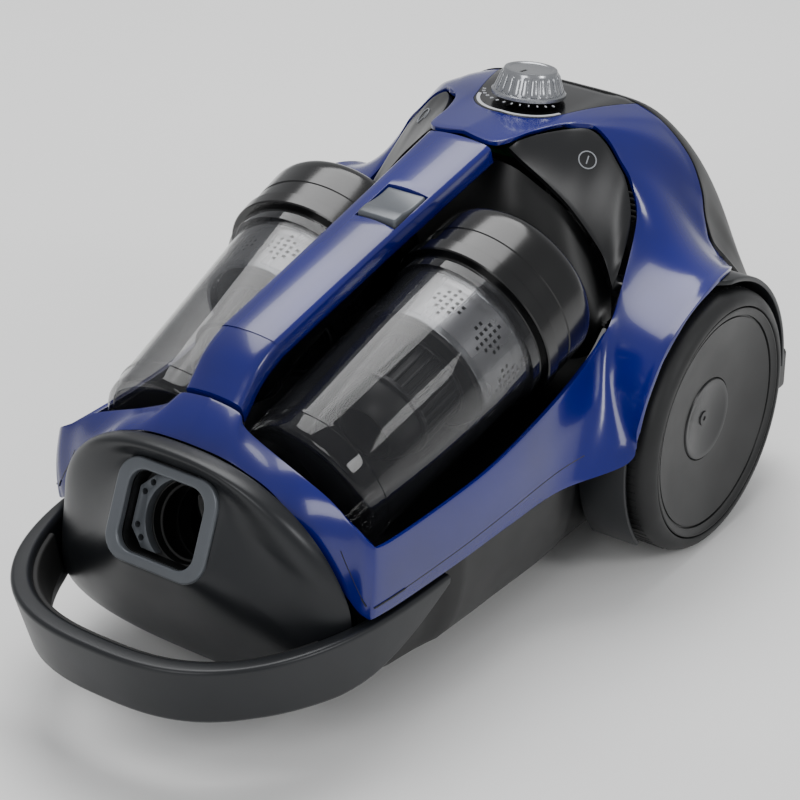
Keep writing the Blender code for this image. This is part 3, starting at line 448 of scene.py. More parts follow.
def turn(name: str, profile: Profile, steps: int = ROUND_STEPS,
         ring: bool = True) -> bpy.types.Object:
    """Solid turned about its own Z axis, in metres.

    Args:
        name: the object's name.
        profile: (radius, height) points in millimetres.
        steps: pieces round the axis.
        ring: whether the profile is a closed outline, else it starts and ends on the axis.

    Returns:
        The object, at the origin.
    """
    count = len(profile)
    verts = []
    for i in range(steps):
        a = math.tau * i / steps
        verts += [Vector((r * math.cos(a), r * math.sin(a), h)) * MM for r, h in profile]
    faces = []
    for i in range(steps):
        j = (i + 1) % steps
        faces += [(i * count + k, j * count + k, j * count + (k + 1) % count,
                   i * count + (k + 1) % count) for k in range(count if ring else count - 1)]
    return make_object(name, verts, faces, metres=True)


def aim(piece: bpy.types.Object, origin: Vector, axis: Sequence[float]) -> bpy.types.Object:
    """Put a piece's origin at a point and turn its Z axis along a direction.

    Args:
        piece: the piece.
        origin: the point, in metres.
        axis: the direction.

    Returns:
        The piece.
    """
    turned = Vector((0, 0, 1)).rotation_difference(Vector(axis)).to_matrix().to_4x4()
    piece.matrix_world = Matrix.Translation(origin) @ turned
    return piece


def arc(cx: float, cy: float, radius: float, start: float, end: float,
        count: int) -> list[tuple[float, float]]:
    """Points of a circular arc.

    Args:
        cx: the centre's first coordinate.
        cy: the centre's second coordinate.
        radius: the arc's radius.
        start: its first angle in degrees.
        end: its last angle in degrees.
        count: pieces along it.

    Returns:
        count + 1 points.
    """
    angles = [math.radians(start + (end - start) * i / count) for i in range(count + 1)]
    return [(cx + radius * math.cos(a), cy + radius * math.sin(a)) for a in angles]


def rounded_rectangle(width: float, height: float, radius: float,
                      corner: int = 8) -> list[tuple[float, float]]:
    """Outline of a rectangle with round corners, anticlockwise.

    Args:
        width: its width.
        height: its height.
        radius: its corners' radius.
        corner: pieces along a corner.

    Returns:
        Its points.
    """
    w, h = width / 2 - radius, height / 2 - radius
    line: list[tuple[float, float]] = []
    for cx, cy, start in ((w, h, 0), (-w, h, 90), (-w, -h, 180), (w, -h, 270)):
        line += arc(cx, cy, radius, start, start + 90, corner)
    return line


def upright(name: str, outline: Sequence[tuple[float, float]], low: float,
            high: float) -> bpy.types.Object:
    """Prism over an outline in plan, between two heights."""
    return loft(name, [[Vector((x, y, z)) for x, y in outline] for z in (low, high)])


def block(name: str, low: Point, high: Point) -> bpy.types.Object:
    """Box between two corners in millimetres."""
    (x0, y0, z0), (x1, y1, z1) = low, high
    ring = [(x0, y0), (x1, y0), (x1, y1), (x0, y1)]
    return upright(name, ring, z0, z1)


def both_halves(name: str, rows: Rows, middle: Sequence[Vector] = ()) -> bpy.types.Object:
    """Open surface across the machine, from the rows of its right half.

    Args:
        name: the object's name.
        rows: rows of points of the right half.
        middle: those of the points that are moved on to the middle plane.

    Returns:
        The object.
    """
    for point in middle:
        point.x = 0.0
    piece = sheet(name, rows)
    change = piece.modifiers.new("mirror", "MIRROR")
    change.merge_threshold = 1e-5
    change.use_clip = True
    return bake(piece)


def wall(piece: bpy.types.Object, thickness: float, inside: Point = (0, -80, 90)) -> None:
    """Give an open surface its thickness, which grows towards a point.

    Args:
        piece: the surface.
        thickness: the wall in millimetres.
        inside: a point on the inner side.
    """
    centre = at(*inside)
    facing = sum(f.normal.dot(f.center - centre) * f.area for f in piece.data.polygons)
    if facing < 0:
        piece.data.flip_normals()
    change = piece.modifiers.new("wall", "SOLIDIFY")
    change.thickness = thickness * MM
    change.offset = -1.0


def soften(piece: bpy.types.Object, width: float, segments: int = 3,
           angle: float = 40.0) -> None:
    """Round a piece's sharp edges.

    Args:
        piece: the piece.
        width: the rounding in millimetres.
        segments: pieces across it.
        angle: the sharpness in degrees from which an edge is rounded.
    """
    change = piece.modifiers.new("round", "BEVEL")
    change.width = width * MM
    change.segments = segments
    change.limit_method = "ANGLE"
    change.angle_limit = math.radians(angle)
    change.harden_normals = False


def cut(piece: bpy.types.Object, tool: bpy.types.Object, keep: bool = False) -> None:
    """Cut a piece with a tool, which is used up.

    Args:
        piece: the piece.
        tool: the tool's solid.
        keep: whether to keep what lies in the tool rather than what lies outside it.
    """
    change = piece.modifiers.new("cut", "BOOLEAN")
    change.operation = "INTERSECT" if keep else "DIFFERENCE"
    change.object = tool
    change.solver = "EXACT"
    bake(piece)
    bpy.data.objects.remove(tool)


def bake(piece: bpy.types.Object) -> bpy.types.Object:
    """Apply a piece's modifiers and its place, so that its object sits at the origin.

    Args:
        piece: the piece.

    Returns:
        The piece.
    """
    bpy.context.view_layer.update()
    seen = piece.evaluated_get(bpy.context.evaluated_depsgraph_get())
    mesh = bpy.data.meshes.new_from_object(seen)
    mesh.transform(piece.matrix_world)
    piece.modifiers.clear()
    piece.data = mesh
    piece.matrix_world = Matrix.Identity(4)
    return piece


def settle(piece: bpy.types.Object, finish: Finish, body: str, slot: str, *nodes: str,
           sharp: float = 38.0) -> bpy.types.Object:
    """Finish a piece: plain mesh, material, shading, and its place in the frame.

    Args:
        piece: the piece.
        finish: its finish.
        body: the frame's body that it rides on.
        slot: the name of a material slot; it is not used.
        nodes: the frame's nodes that it stands for.
        sharp: the angle in degrees from which an edge is shaded as sharp.

    Returns:
        The piece.
    """
    bake(piece)
    piece.data.name = piece.name
    piece.data.materials.clear()
    piece.data.materials.append(finish.material())
    piece.data.shade_smooth()
    piece.data.set_sharp_from_angle(angle=math.radians(sharp))
    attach(piece, body)
    if nodes:
        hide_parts(*nodes)
    LOG.info("%s: %d faces", piece.name, len(piece.data.polygons))
    return piece


# ------------------------------------------------------------------ repeated shapes

def start_tree(name: str, sizes: Sequence[str],
               numbers: Sequence[str]) -> tuple[bpy.types.NodeTree, bpy.types.Node]:
    """Start a Geometry Nodes tree that takes a mesh and some named values.

    Args:
        name: the tree's name.
        sizes: names of its decimal inputs.
        numbers: names of its whole-number inputs.

    Returns:
        The tree and the node that gives its inputs.
    """
    tree = bpy.data.node_groups.new(name, "GeometryNodeTree")
    face = tree.interface
    face.new_socket("Geometry", in_out="INPUT", socket_type="NodeSocketGeometry")
    for kind, labels in (("NodeSocketFloat", sizes), ("NodeSocketInt", numbers)):
        for label in labels:
            face.new_socket(label, in_out="INPUT", socket_type=kind)
    face.new_socket("Geometry", in_out="OUTPUT", socket_type="NodeSocketGeometry")
    return tree, add_node(tree, "NodeGroupInput")


def end_tree(tree: bpy.types.NodeTree, shape: bpy.types.Node,
             finish: Finish) -> bpy.types.NodeTree:
    """End a tree with its instances made real and their finish set.

    Args:
        tree: the tree.
        shape: the node that gives the shape.
        finish: the shape's finish.

    Returns:
        The tree.
    """
    real = add_node(tree, "GeometryNodeRealizeInstances", None, {0: (shape, 0)})
    dressed = add_node(tree, "GeometryNodeSetMaterial", {"Material": finish.material()},
                       {"Geometry": (real, 0)})
    add_node(tree, "NodeGroupOutput", None, {"Geometry": (dressed, 0)})
    return tree


def repeat_tree(finish: Finish) -> bpy.types.NodeTree:
    """Geometry Nodes tree that repeats a mesh round and along its own Z axis.

    Args:
        finish: the finish of every copy.

    Returns:
        The tree, with inputs Count, First Turn, Turn and Rise.
    """
    tree, given = start_tree("repeat_" + finish.name, ("First Turn", "Turn", "Rise"), ("Count",))
    index = add_node(tree, "GeometryNodeInputIndex")
    angle = add_node(tree, "ShaderNodeMath", {"operation": "MULTIPLY_ADD"},
                     {0: (index, 0), 1: (given, "Turn"), 2: (given, "First Turn")})
    height = add_node(tree, "ShaderNodeMath", {"operation": "MULTIPLY"},
                      {0: (index, 0), 1: (given, "Rise")})
    lift = add_node(tree, "ShaderNodeCombineXYZ", None, {"Z": (height, 0)})
    axis = add_node(tree, "ShaderNodeCombineXYZ", None, {"Z": (angle, 0)})
    spin = add_node(tree, "FunctionNodeEulerToRotation", None, {0: (axis, 0)})
    points = add_node(tree, "GeometryNodePoints", None,
                      {"Count": (given, "Count"), "Position": (lift, 0)})
    copies = add_node(tree, "GeometryNodeInstanceOnPoints", None,
                      {"Points": (points, 0), "Instance": (given, "Geometry"),
                       "Rotation": (spin, 0)})
    return end_tree(tree, copies, finish)


def sieve_tree(finish: Finish) -> bpy.types.NodeTree:
    """Geometry Nodes tree that rolls a sheet with diamond clusters of square holes.

    Args:
        finish: the sheet's finish.

    Returns:
        The tree, with inputs Radius, Height, Columns, Lines, Cluster and Spread.
    """
    tree, given = start_tree("sieve_" + finish.name, ("Radius", "Height"),
                             ("Columns", "Lines", "Cluster", "Spread"))
    sizes = {}
    for label in ("Columns", "Lines"):
        sizes[label] = add_node(tree, "ShaderNodeMath", {"operation": "ADD", 1: 1.0},
                                {0: (given, label)})
    grid = add_node(tree, "GeometryNodeMeshGrid", {"Size X": 1.0, "Size Y": 1.0},
                    {"Vertices X": (sizes["Columns"], 0), "Vertices Y": (sizes["Lines"], 0)})
    where = add_node(tree, "GeometryNodeInputPosition")
    part = add_node(tree, "ShaderNodeSeparateXYZ", None, {0: (where, 0)})
    half = add_node(tree, "ShaderNodeMath", {"operation": "DIVIDE", 1: 2.0},
                    {0: (given, "Cluster")})
    between = add_node(tree, "ShaderNodeMath", {"operation": "ADD", 1: 1.0}, {0: (half, 0)})
    odd, far = [], []
    for output, label in ((0, "Columns"), (1, "Lines")):
        shifted = add_node(tree, "ShaderNodeMath", {"operation": "ADD", 1: 0.5},
                           {0: (part, output)})
        cell = add_node(tree, "ShaderNodeMath", {"operation": "MULTIPLY"},
                        {0: (shifted, 0), 1: (given, label)})
        number = add_node(tree, "ShaderNodeMath", {"operation": "FLOOR"}, {0: (cell, 0)})
        odd.append(add_node(tree, "ShaderNodeMath", {"operation": "MODULO", 1: 2.0},
                            {0: (number, 0)}))
        inside = add_node(tree, "ShaderNodeMath", {"operation": "MODULO"},
                          {0: (number, 0), 1: (given, "Cluster")})
        offset = add_node(tree, "ShaderNodeMath", {"operation": "SUBTRACT"},
                          {0: (inside, 0), 1: (between if output else half, 0)})
        far.append(add_node(tree, "ShaderNodeMath", {"operation": "ABSOLUTE"}, {0: (offset, 0)}))
    reach = add_node(tree, "ShaderNodeMath", {"operation": "ADD"},
                     {0: (far[0], 0), 1: (far[1], 0)})
    near = add_node(tree, "ShaderNodeMath", {"operation": "LESS_THAN"},
                    {0: (reach, 0), 1: (given, "Spread")})
    both = add_node(tree, "ShaderNodeMath", {"operation": "MULTIPLY"},
                    {0: (odd[0], 0), 1: (odd[1], 0)})
    hole = add_node(tree, "ShaderNodeMath", {"operation": "MULTIPLY"},
                    {0: (both, 0), 1: (near, 0)})
    pierced = add_node(tree, "GeometryNodeDeleteGeometry", {"domain": "FACE"},
                       {"Geometry": (grid, 0), "Selection": (hole, 0)})
    angle = add_node(tree, "ShaderNodeMath", {"operation": "MULTIPLY", 1: math.tau},
                     {0: (part, 0)})
    ring = []
    for operation in ("COSINE", "SINE"):
        ratio = add_node(tree, "ShaderNodeMath", {"operation": operation}, {0: (angle, 0)})
        ring.append(add_node(tree, "ShaderNodeMath", {"operation": "MULTIPLY"},
                             {0: (ratio, 0), 1: (given, "Radius")}))
    height = add_node(tree, "ShaderNodeMath", {"operation": "MULTIPLY"},
                      {0: (part, 1), 1: (given, "Height")})
    rolled = add_node(tree, "ShaderNodeCombineXYZ", None,
                      {0: (ring[0], 0), 1: (ring[1], 0), 2: (height, 0)})
    tube = add_node(tree, "GeometryNodeSetPosition", None,
                    {"Geometry": (pierced, 0), "Position": (rolled, 0)})
    seam = add_node(tree, "GeometryNodeMergeByDistance", {"Distance": 1e-5}, {0: (tube, 0)})
    return end_tree(tree, seam, finish)


def run_tree(piece: bpy.types.Object, tree: bpy.types.NodeTree,
             values: dict[str, float]) -> bpy.types.Object:
    """Run a Geometry Nodes tree on a piece and keep the result as its mesh.

    Args:
        piece: the piece, at the origin.
        tree: the tree.
        values: the tree's named inputs.

    Returns:
        The piece.
    """
    change = piece.modifiers.new("pattern", "NODES")
    change.node_group = tree
    for item in tree.interface.items_tree:
        if item.item_type == "SOCKET" and item.in_out == "INPUT" and item.name in values:
            change[item.identifier] = values[item.name]
    return bake(piece)


def repeat(piece: bpy.types.Object, finish: Finish, count: int, turn_by: float = 0.0,
           first: float = 0.0, rise: float = 0.0) -> bpy.types.Object:
    """Repeat a piece round and along its Z axis.

    Args:
        piece: one item, made at the origin.
        finish: its finish.
        count: how many.
        turn_by: degrees from one to the next.
        first: degrees of the first.
        rise: millimetres from one to the next.

    Returns:
        The piece, with all its copies.
    """
    return run_tree(piece, repeat_tree(finish),
                    {"Count": count, "First Turn": math.radians(first),
                     "Turn": math.radians(turn_by), "Rise": rise * MM})


# ------------------------------------------------------------------ assemblies

def superellipse(half: float, height: float, power: float, angle: float) -> tuple[float, float]:
    """Point of a superellipse.

    Args:
        half: its half width.
        height: its half height.
        power: its power; 2 is an ellipse, and more is squarer.
        angle: the angle of the point in radians.

    Returns:
        The point, across and up.
    """
    c, s = math.cos(angle), math.sin(angle)
    return (half * math.copysign(abs(c) ** (2 / power), c),
            height * math.copysign(abs(s) ** (2 / power), s))


def with_handles(ribs: Sequence[tuple[Point, Point, Point, Point]]) -> Iterator[list[Vector]]:
    """Turn (start, end, swell, swell) ribs into Bezier ribs.

    Args:
        ribs: the ribs; each swell pushes one handle out.

    Yields:
        Start, two handles and end of each rib.
    """
    for start, end, near, far in ribs:
        a, d = Vector(start), Vector(end)
        yield [a, a + (d - a) / 3 + Vector(near), d - (d - a) / 3 + Vector(far), d]


@dataclass
class UpperCover:
    """Blue ring round the bin bay, from the nose arch to the tail dome."""

    lip_r: float = 90.4
    edge_x: float = 141.0
    low: float = BELT_Z + 1.2
    arch_clear: float = 88.0
    dial_y: float = 14.5
    dial_r: float = 32.0
    scale_r: float = 30.2
    scale_w: float = 2.0
    gap: float = 0.4
    along: int = 8
    across: int = 18
    eased: tuple[int, int] = (84, 184)
    ease_rounds: int = 24
    below_top: float = 200.0
    above_top: float = 280.0

    def fender(self, angle: float, x: float) -> Point:
        """Point over the wheel: 0 degrees is its front, 90 its top."""
        a = math.radians(angle)
        return (x, -self.lip_r * math.cos(a), WHEEL_R + self.lip_r * math.sin(a))

    def ribs(self) -> list[tuple[Point, Point, Point, Point]]:
        """Ribs of the right half.

        Returns:
            Bay edge, outer edge and the swell near each.
        """
        e, low, f = self.edge_x, self.low, self.fender
        return [
            ((0, -283, 175), (0, -304, 158.5), (0, -1, 1.5), (0, -1, 1.5)),
            ((18.8, -283, 172.3), (22, -303.7, 157.2), (0, -1, 1.5), (0, -1, 1.5)),
            ((25, -285, 165.5), (38, -302.7, 152.8), (0, -1, 1.5), (0, -1, 1.5)),
            ((45, -284.5, 155.5), (56, -300.8, 143.5), (1, -1, 1.5), (1, -1, 1.5)),
            ((78, -285.5, 142.5), (79, -296.5, 116.5), (3, -2, 2), (3, -1, 1)),
            ((93, -286.5, 132.5), (91, -292.8, 96.5), (3, -2, 1), (3, -1, 0)),
            ((104.5, -286, 125.5), (103, -290, low), (2, -2, 0), (3, -2, 0)),
            ((107.5, -276, 121.5), (109, -281, low), (1.5, -1, 0), (1.5, -1, 0)),
            ((108.5, -220, 121), (112.5, -222, low), (1.5, 0, 0), (1.5, 0, 0)),
            ((109.5, -175, 124.5), (113.5, -172, low), (1.5, 0, 0), (1.5, 0, 0)),
            ((110, -118, 137), (116, -124, low), (1, 0, -2), (0, 0, -2)),
            ((106.5, -78, 146), f(8, e - 2), (-5, 0, -3), (-6, 0, -2)),
            ((104.6, -65, 150.6), f(21, e - 0.6), (-4.5, -0.5, -1), (-6.5, -0.5, 0)),
            ((102, -52, 156), f(35, e), (-3, -1.5, 1.5), (-6, -1.5, 1.5)),
            ((99.2, -41, 163.6), f(47, e), (-3, -0.8, 0.5), (-5.5, -0.8, 0.8)),
            ((96, -30, 172), f(60, e), (-3, 0, -2), (-5, 0, -0.5)),
            ((89, -9, 187), f(85, e - 1), (0, 0, -5), (-5, 0, -4)),
            ((85, 0, 200), f(106, e - 7), (2, 0, -2), (-6, 0, -6)),
            ((78, 4, 215.5), f(127, e - 23), (6, 6, 6), (-8, 0, -2)),
            ((70, 5, 225), (104, DECK_Y - 2, 163), (8, 6, 8), (-3, 0, 4)),
            ((62, 6, 234), (98, DECK_Y - 1, 178), (9, 6, 9), (2, 2, 8)),
            ((54, 6, 240), (94.5, DECK_Y - 1, 195), (8, 4, 8), (5, 3, 8)),
            ((48, 3.5, 242.5), (85, DECK_Y - 0.5, 213.5), (6, 3, 6), (5, 2, 7)),
            ((38, -5, 242.8), (66, DECK_Y - 0.5, 230.5), (3, 0, 4), (3, 0, 5)),
            ((30, -25, 243.6), (44, DECK_Y - 0.5, 238.5), (0, 0, 2.5), (0, 0, 2.5)),
            ((22, -53, 244.6), (25, DECK_Y - 0.5, 239.3), (0, 0, 2), (0, 0, 2)),
            ((0, -53, 246.5), (0, DECK_Y - 0.5, 239.5), (0, 0, 2), (0, 0, 2)),
        ]

    def surface(self, name: str, lift: float = 0.0) -> bpy.types.Object:
        """Cover's outer surface, both halves.

        Args:
            name: the object's name.
            lift: how far it is raised, in millimetres.

        Returns:
            The surface.
        """
        rows = rib_rows(list(with_handles(self.ribs())), self.along, self.across)
        rows = relax(rows, *self.eased, self.ease_rounds)
        for row in rows:
            for point in row:
                point.z += lift
        return both_halves(name, rows, rows[0] + rows[-1])

    def column(self, name: str, outline: Sequence[tuple[float, float]]) -> bpy.types.Object:
        """Upright prism that passes through the top of the cover."""
        return upright(name, outline, self.below_top, self.above_top)

    def dial_outline(self, inset: float) -> list[tuple[float, float]]:
        """Outline of the dial plate in plan, inset by some millimetres."""
        front = arc(0, self.dial_y, self.dial_r - inset, -148, -32, 40)
        rear, back = 50 - inset, DECK_Y + 4 - inset
        return front + [(rear, back), (-rear, back)]

    def build(self) -> None:
        """Build the cover with its openings, the dial plate and the plate's printed scale."""
        cover = self.surface("blue_cover")
        wall(cover, WALL)
        cut(cover, self.column("dial_opening", self.dial_outline(0)))
        for side in Side:
            room = turn("arch_room", [(60, 114), (self.arch_clear, 114), (self.arch_clear, 150),
                                      (60, 150)], WIDE_STEPS)
            cut(cover, aim(room, at(0, 0, WHEEL_R), (side.value, 0, 0)))
        soften(cover, 0.7, 3, 55)
        settle(cover, GLOSS_BLUE, "body", "blue_shell", "upper_cover", sharp=50)

        plate = self.surface("dial_plate_moulding")
        wall(plate, WALL)
        cut(plate, self.column("dial_blank", self.dial_outline(self.gap)), keep=True)
        soften(plate, 0.35, 2, 55)
        settle(plate, POLISHED_BLACK, "body", "black_plastic", "dial_plate", sharp=50)

        scale = self.surface("dial_arc", 0.35)
        wall(scale, 0.3)
        band = arc(0, self.dial_y, self.scale_r, -162, -18, 60)
        band += arc(0, self.dial_y, self.scale_r - self.scale_w, -18, -162, 60)
        cut(scale, self.column("scale_band", band), keep=True)
        settle(scale, SCALE_INK, "body", "silver", "dial_scale")


@dataclass
class Seams:
    """Moulding lines of the blue cover, as shallow dark grooves laid into its skin."""

    cover: UpperCover

    def track(self, start: float, end: float, across: Callable[[float], float],
              count: int = 90) -> list[tuple[Vector, Vector]]:
        """Points on the cover's surface, with its normal at each.

        Args:
            start: first rib number.
            end: last rib number.
            across: share of the way from the bay edge to the outer edge at a rib number.
            count: pieces along the line.

        Returns:
            Places and normals.
        """
        ribs = list(with_handles(self.cover.ribs()))
        steps = self.cover.along
        tracks = [spline([Vector(rib[k]) for rib in ribs], steps) for k in range(4)]
        last = len(tracks[0]) - 1

        def place(number: float, share: float) -> Vector:
            """Place on the cover.

            Args:
                number: its rib number, which may lie between two ribs.
                share: its share of the way across.

            Returns:
                The place.
            """
            spot = min(max(number * steps, 0.0), last - 1e-6)
            low = int(spot)
            a, b = (bezier(*(t[i] for t in tracks), share) for i in (low, low + 1))
            return a.lerp(b, spot - low)

        line = []
        for i in range(count + 1):
            number = start + (end - start) * i / count
            share = across(number)
            here = place(number, share)
            ahead = place(number + 0.02, share) - here
            aside = place(number, min(share + 0.02, 1.0)) - place(number, max(share - 0.02, 0.0))
            normal = ahead.cross(aside).normalized()
            line.append((here, normal if normal.z > 0 or normal.x > 0 else -normal))
        return line

    def bead(self, name: str, side: Side, line: list[tuple[Vector, Vector]], radius: float,
             sink: float) -> bpy.types.Object:
        """Thin bar along a line on the cover.

        Args:
            name: the piece's name.
            side: the side of the machine that it is on.
            line: the line, on the right side.
            radius: the bar's radius in millimetres.
            sink: how deep its centre lies under the skin.

        Returns:
            The bar.
        """
        rings = []
        for i, (here, normal) in enumerate(line):
            ahead = line[min(i + 1, len(line) - 1)][0] - line[max(i - 1, 0)][0]
            aside = ahead.cross(normal).normalized()
            centre = here - normal * sink
            ring = [centre + aside * (radius * math.cos(a)) + normal * (radius * math.sin(a))
                    for a in (math.tau * k / 8 for k in range(8))]
            rings.append([Vector((p.x * side.value, p.y, p.z)) for p in ring])
        return loft(name, rings)

    def build(self) -> None:
        """Build the joint low on each side and the joint at each corner of the nose."""
        low = self.track(6.6, 10.4, lambda n: 0.84 - 0.02 * (n - 6))
        corner = self.track(4.6, 6.0, lambda n: 0.55 + 0.2 * (n - 4.6))
        for side in Side:
            for name, line, radius, sink in (("side_joint", low, 0.45, 0.3),
                                             ("nose_joint", corner, 0.4, 0.28)):
                piece = self.bead(f"{name}_{side.label}", side, line, radius, sink)
                settle(piece, GRAINED_BLACK, "body", "blue_shell")


@dataclass
class Nose:
    """Gunmetal shield on the nose, with the hose port's bezel, socket and contacts."""

    bezel_w: float = 66.0
    bezel_h: float = 56.0
    pocket_w: float = 50.0
    pocket_h: float = 44.0
    pocket_d: float = 14.0
    port_r: float = 22.0
    port_x: float = 6.0
    ribs: int = 72
    top: tuple[float, float] = (-313.7, 147.7)
    foot: tuple[float, float] = (-336.2, 96.4)

    def spot(self, x: float, up: float, out: float = 0.0) -> Vector:
        """Place by the port's tilted plane.

        Args:
            x: how far across it is.
            up: how far up the plane from its middle.
            out: how far out of the plane.

        Returns:
            The place.
        """
        rise = (Vector(self.top) - Vector(self.foot)).normalized()
        middle = (Vector(self.top) + Vector(self.foot)) / 2
        return Vector((x, middle.x + rise.x * up - rise.y * out,
                       middle.y + rise.y * up + rise.x * out))

    @property
    def axis(self) -> Vector:
        """Direction out of the port."""
        return self.spot(0, 0, 1) - self.spot(0, 0)

    def prism(self, name: str, outline: Sequence[tuple[float, float]], low: float,
              high: float) -> bpy.types.Object:
        """Prism square to the port's plane."""
        return loft(name, [[self.spot(x, u, h) for x, u in outline] for h in (low, high)])

    def bore(self, name: str, radius: float, low: float, high: float, x: float = 0.0,
             up: float = 0.0, steps: int = ROUND_STEPS) -> bpy.types.Object:
        """Round bar along the port's axis, for cutting."""
        bar = turn(name, [(0, low), (radius, low), (radius, high), (0, high)], steps, False)
        return aim(bar, at(*self.spot(x, up)), self.axis)

    def rim(self, angle: float) -> Vector:
        """Outer edge of the shield.

        Args:
            angle: the angle round the port, in radians.

        Returns:
            The edge's place.
        """
        height, power = (102.0, 2.35) if math.sin(angle) >= 0 else (32.0, 2.9)
        x, up = superellipse(98.5, height, power, angle)
        z = 56 + up
        y = -294 - 0.17 * (max(z, 84) - 100) - 1.4 - 0.1 * (84 - min(z, 84))
        return Vector((x, y, z))

    def build(self) -> None:
        """Build the shield, bezel, socket, contact lugs and duct."""
        ribs = []
        for k in range(self.ribs):
            angle = math.tau * k / self.ribs
            x, up = superellipse(self.bezel_w / 2 + 0.5, self.bezel_h / 2 + 0.5, 4.5, angle)
            rim, mouth = self.rim(angle), self.spot(x, up, -0.5)
            span = mouth - rim
            swell = Vector((rim.x * 0.10, -13 - 5 * math.sin(angle), 7 * math.sin(angle)))
            ribs.append([rim, rim + span * 0.30 + swell, mouth - span * 0.28 + swell * 0.25,
                         mouth])
        shield = sheet("nose_shield", rib_rows(ribs, 2, 24, loop=True), loop=True)
        wall(shield, WALL)
        soften(shield, 0.6, 3, 55)
        settle(shield, SATIN_GUNMETAL, "body", "gunmetal", "nose_cover", sharp=50)

        pocket = rounded_rectangle(self.pocket_w, self.pocket_h, 10)
        bezel = self.prism("port_bezel", rounded_rectangle(self.bezel_w, self.bezel_h, 13.5),
                           -3.0, 2.0)
        cut(bezel, self.prism("bezel_mouth", pocket, -10, 10))
        soften(bezel, 1.3, 4)
        settle(bezel, SATIN_GREY, "body", "light_grey", "inlet_bezel")

        socket = self.prism("port_socket", rounded_rectangle(58, 50, 11), -34, -3.4)
        cut(socket, self.prism("socket_pocket", pocket, -self.pocket_d, 5))
        cut(socket, self.bore("socket_bore", self.port_r, -50, 10, self.port_x))
        soften(socket, 0.8, 3)
        settle(socket, GRAINED_BLACK, "body", "black_plastic", "inlet_socket")

        seal = turn("port_seal", [(self.port_r - 1.6 + 0.9 * math.cos(a), 0.9 * math.sin(a))
                                  for a in (math.tau * k / 12 for k in range(12))])
        aim(seal, at(*self.spot(self.port_x, 0, -19)), self.axis)
        settle(seal, SEAL_RUBBER, "body", "soft_rubber")

        outline = [(-24, -11), (-15, -20), (-4, -20), (-4, 20), (-15, 20), (-24, 11)]
        lugs = self.prism("contact_lugs", outline, 0.4 - self.pocket_d, -8)
        cut(lugs, self.bore("lug_bore", self.port_r + 0.8, -50, 10, self.port_x))
        for x, up in ((-20.5, 9), (-16.5, 15), (-20.5, -9), (-16.5, -15)):
            cut(lugs, self.bore("contact_hole", 1.8, -20, 10, x, up, 24))
        soften(lugs, 0.6, 2)
        settle(lugs, SATIN_GREY, "body", "light_grey", "contact_block")

        duct = turn("port_duct", [(21.5, -46), (24, -46), (24, -34.6), (21.5, -34.6)])
        aim(duct, at(*self.spot(self.port_x, 0)), self.axis)
        settle(duct, GRAINED_BLACK, "body", "black_plastic", "inlet_duct")


@dataclass
class FrontHandle:
    """Carrying loop in front of the nose, with a rubber strip on its inner face."""

    half: float = 112.6
    depth: float = 162.5
    root_y: float = -225.8
    power: float = 2.6
    top: float = 79.0
    height: float = 38.0
    steps: int = 120
    strip_from: float = 28.0
    strip_to: float = 152.0
    strip_steps: int = 96

    def frame(self, angle: float) -> tuple[Vector, Vector, float]:
        """Shape of the loop at an angle.

        Args:
            angle: where on the loop, in radians.

        Returns:
            Place on its outer face, its outward direction, and the tuck of its foot.
        """
        c, s = math.cos(angle), math.sin(angle)
        x, up = superellipse(self.half, self.depth, self.power, angle)
        nx = math.copysign(abs(c) ** (2 - 2 / self.power), c) / self.half
        ny = -(abs(s) ** (2 - 2 / self.power)) / self.depth
        front = min(1.0, max(0.0, (abs(up) - 60) / 70))
        return (Vector((x, self.root_y - up, 0)), Vector((nx, ny, 0)).normalized(),
                3.0 + 6.5 * front)

    def section(self, angle: float, start: float, stop: float, top: float, bottom: float,
                radius: float) -> list[Vector]:
        """Cross-section with round corners.

        Args:
            angle: where on the loop, in radians.
            start: depth of its outer face.
            stop: depth of its inner face.
            top: height of its top.
            bottom: height of its foot.
            radius: its corners' radius.

        Returns:
            Its points.
        """
        place, out, tuck = self.frame(angle)
        middle = ((start + stop) / 2, (top + bottom) / 2)
        ring = rounded_rectangle(stop - start, top - bottom, radius, 5)
        points = []
        for across, up in ring:
            z = middle[1] + up
            slope = (self.top - z) / self.height
            points.append(place - out * (middle[0] + across + tuck * slope) + Vector((0, 0, z)))
        return points

    def width(self, angle: float) -> float:
        """Thickness of the loop, which is greatest in front."""
        return 8.0 + 4.5 * math.sin(angle)

    def foot(self, angle: float) -> float:
        """Underside of the loop, which sweeps up to a point at the end of each arm.

        Args:
            angle: where on the loop, in radians.

        Returns:
            Its height.
        """
        reach = superellipse(self.half, self.depth, self.power, angle)[1]
        rise = max(0.0, 1 - reach / 85.0)
        return self.top - self.height + (self.height - 7.0) * rise ** 1.6

    def build(self) -> None:
        """Build the loop and its strip."""
        angles = [math.pi * k / self.steps for k in range(self.steps + 1)]
        rings = []
        for a in angles:
            radius = min(3.2, (self.top - self.foot(a)) * 0.35, self.width(a) * 0.38)
            rings.append(self.section(a, 0, self.width(a), self.top, self.foot(a), radius))
        loop = loft("carrying_loop", rings)
        settle(loop, SATIN_GUNMETAL, "body", "gunmetal", "front_handle", sharp=60)
        reach, steps = self.strip_to - self.strip_from, self.strip_steps
        inner = [math.radians(self.strip_from + reach * k / steps) for k in range(steps + 1)]
        rings = [self.section(a, self.width(a) - 0.3, self.width(a) + 3.0, self.top - 3,
                              self.top - 27, 1.2) for a in inner]
        strip = loft("loop_strip", rings)
        settle(strip, SEAL_RUBBER, "body", "soft_rubber", "handle_grip", sharp=60)


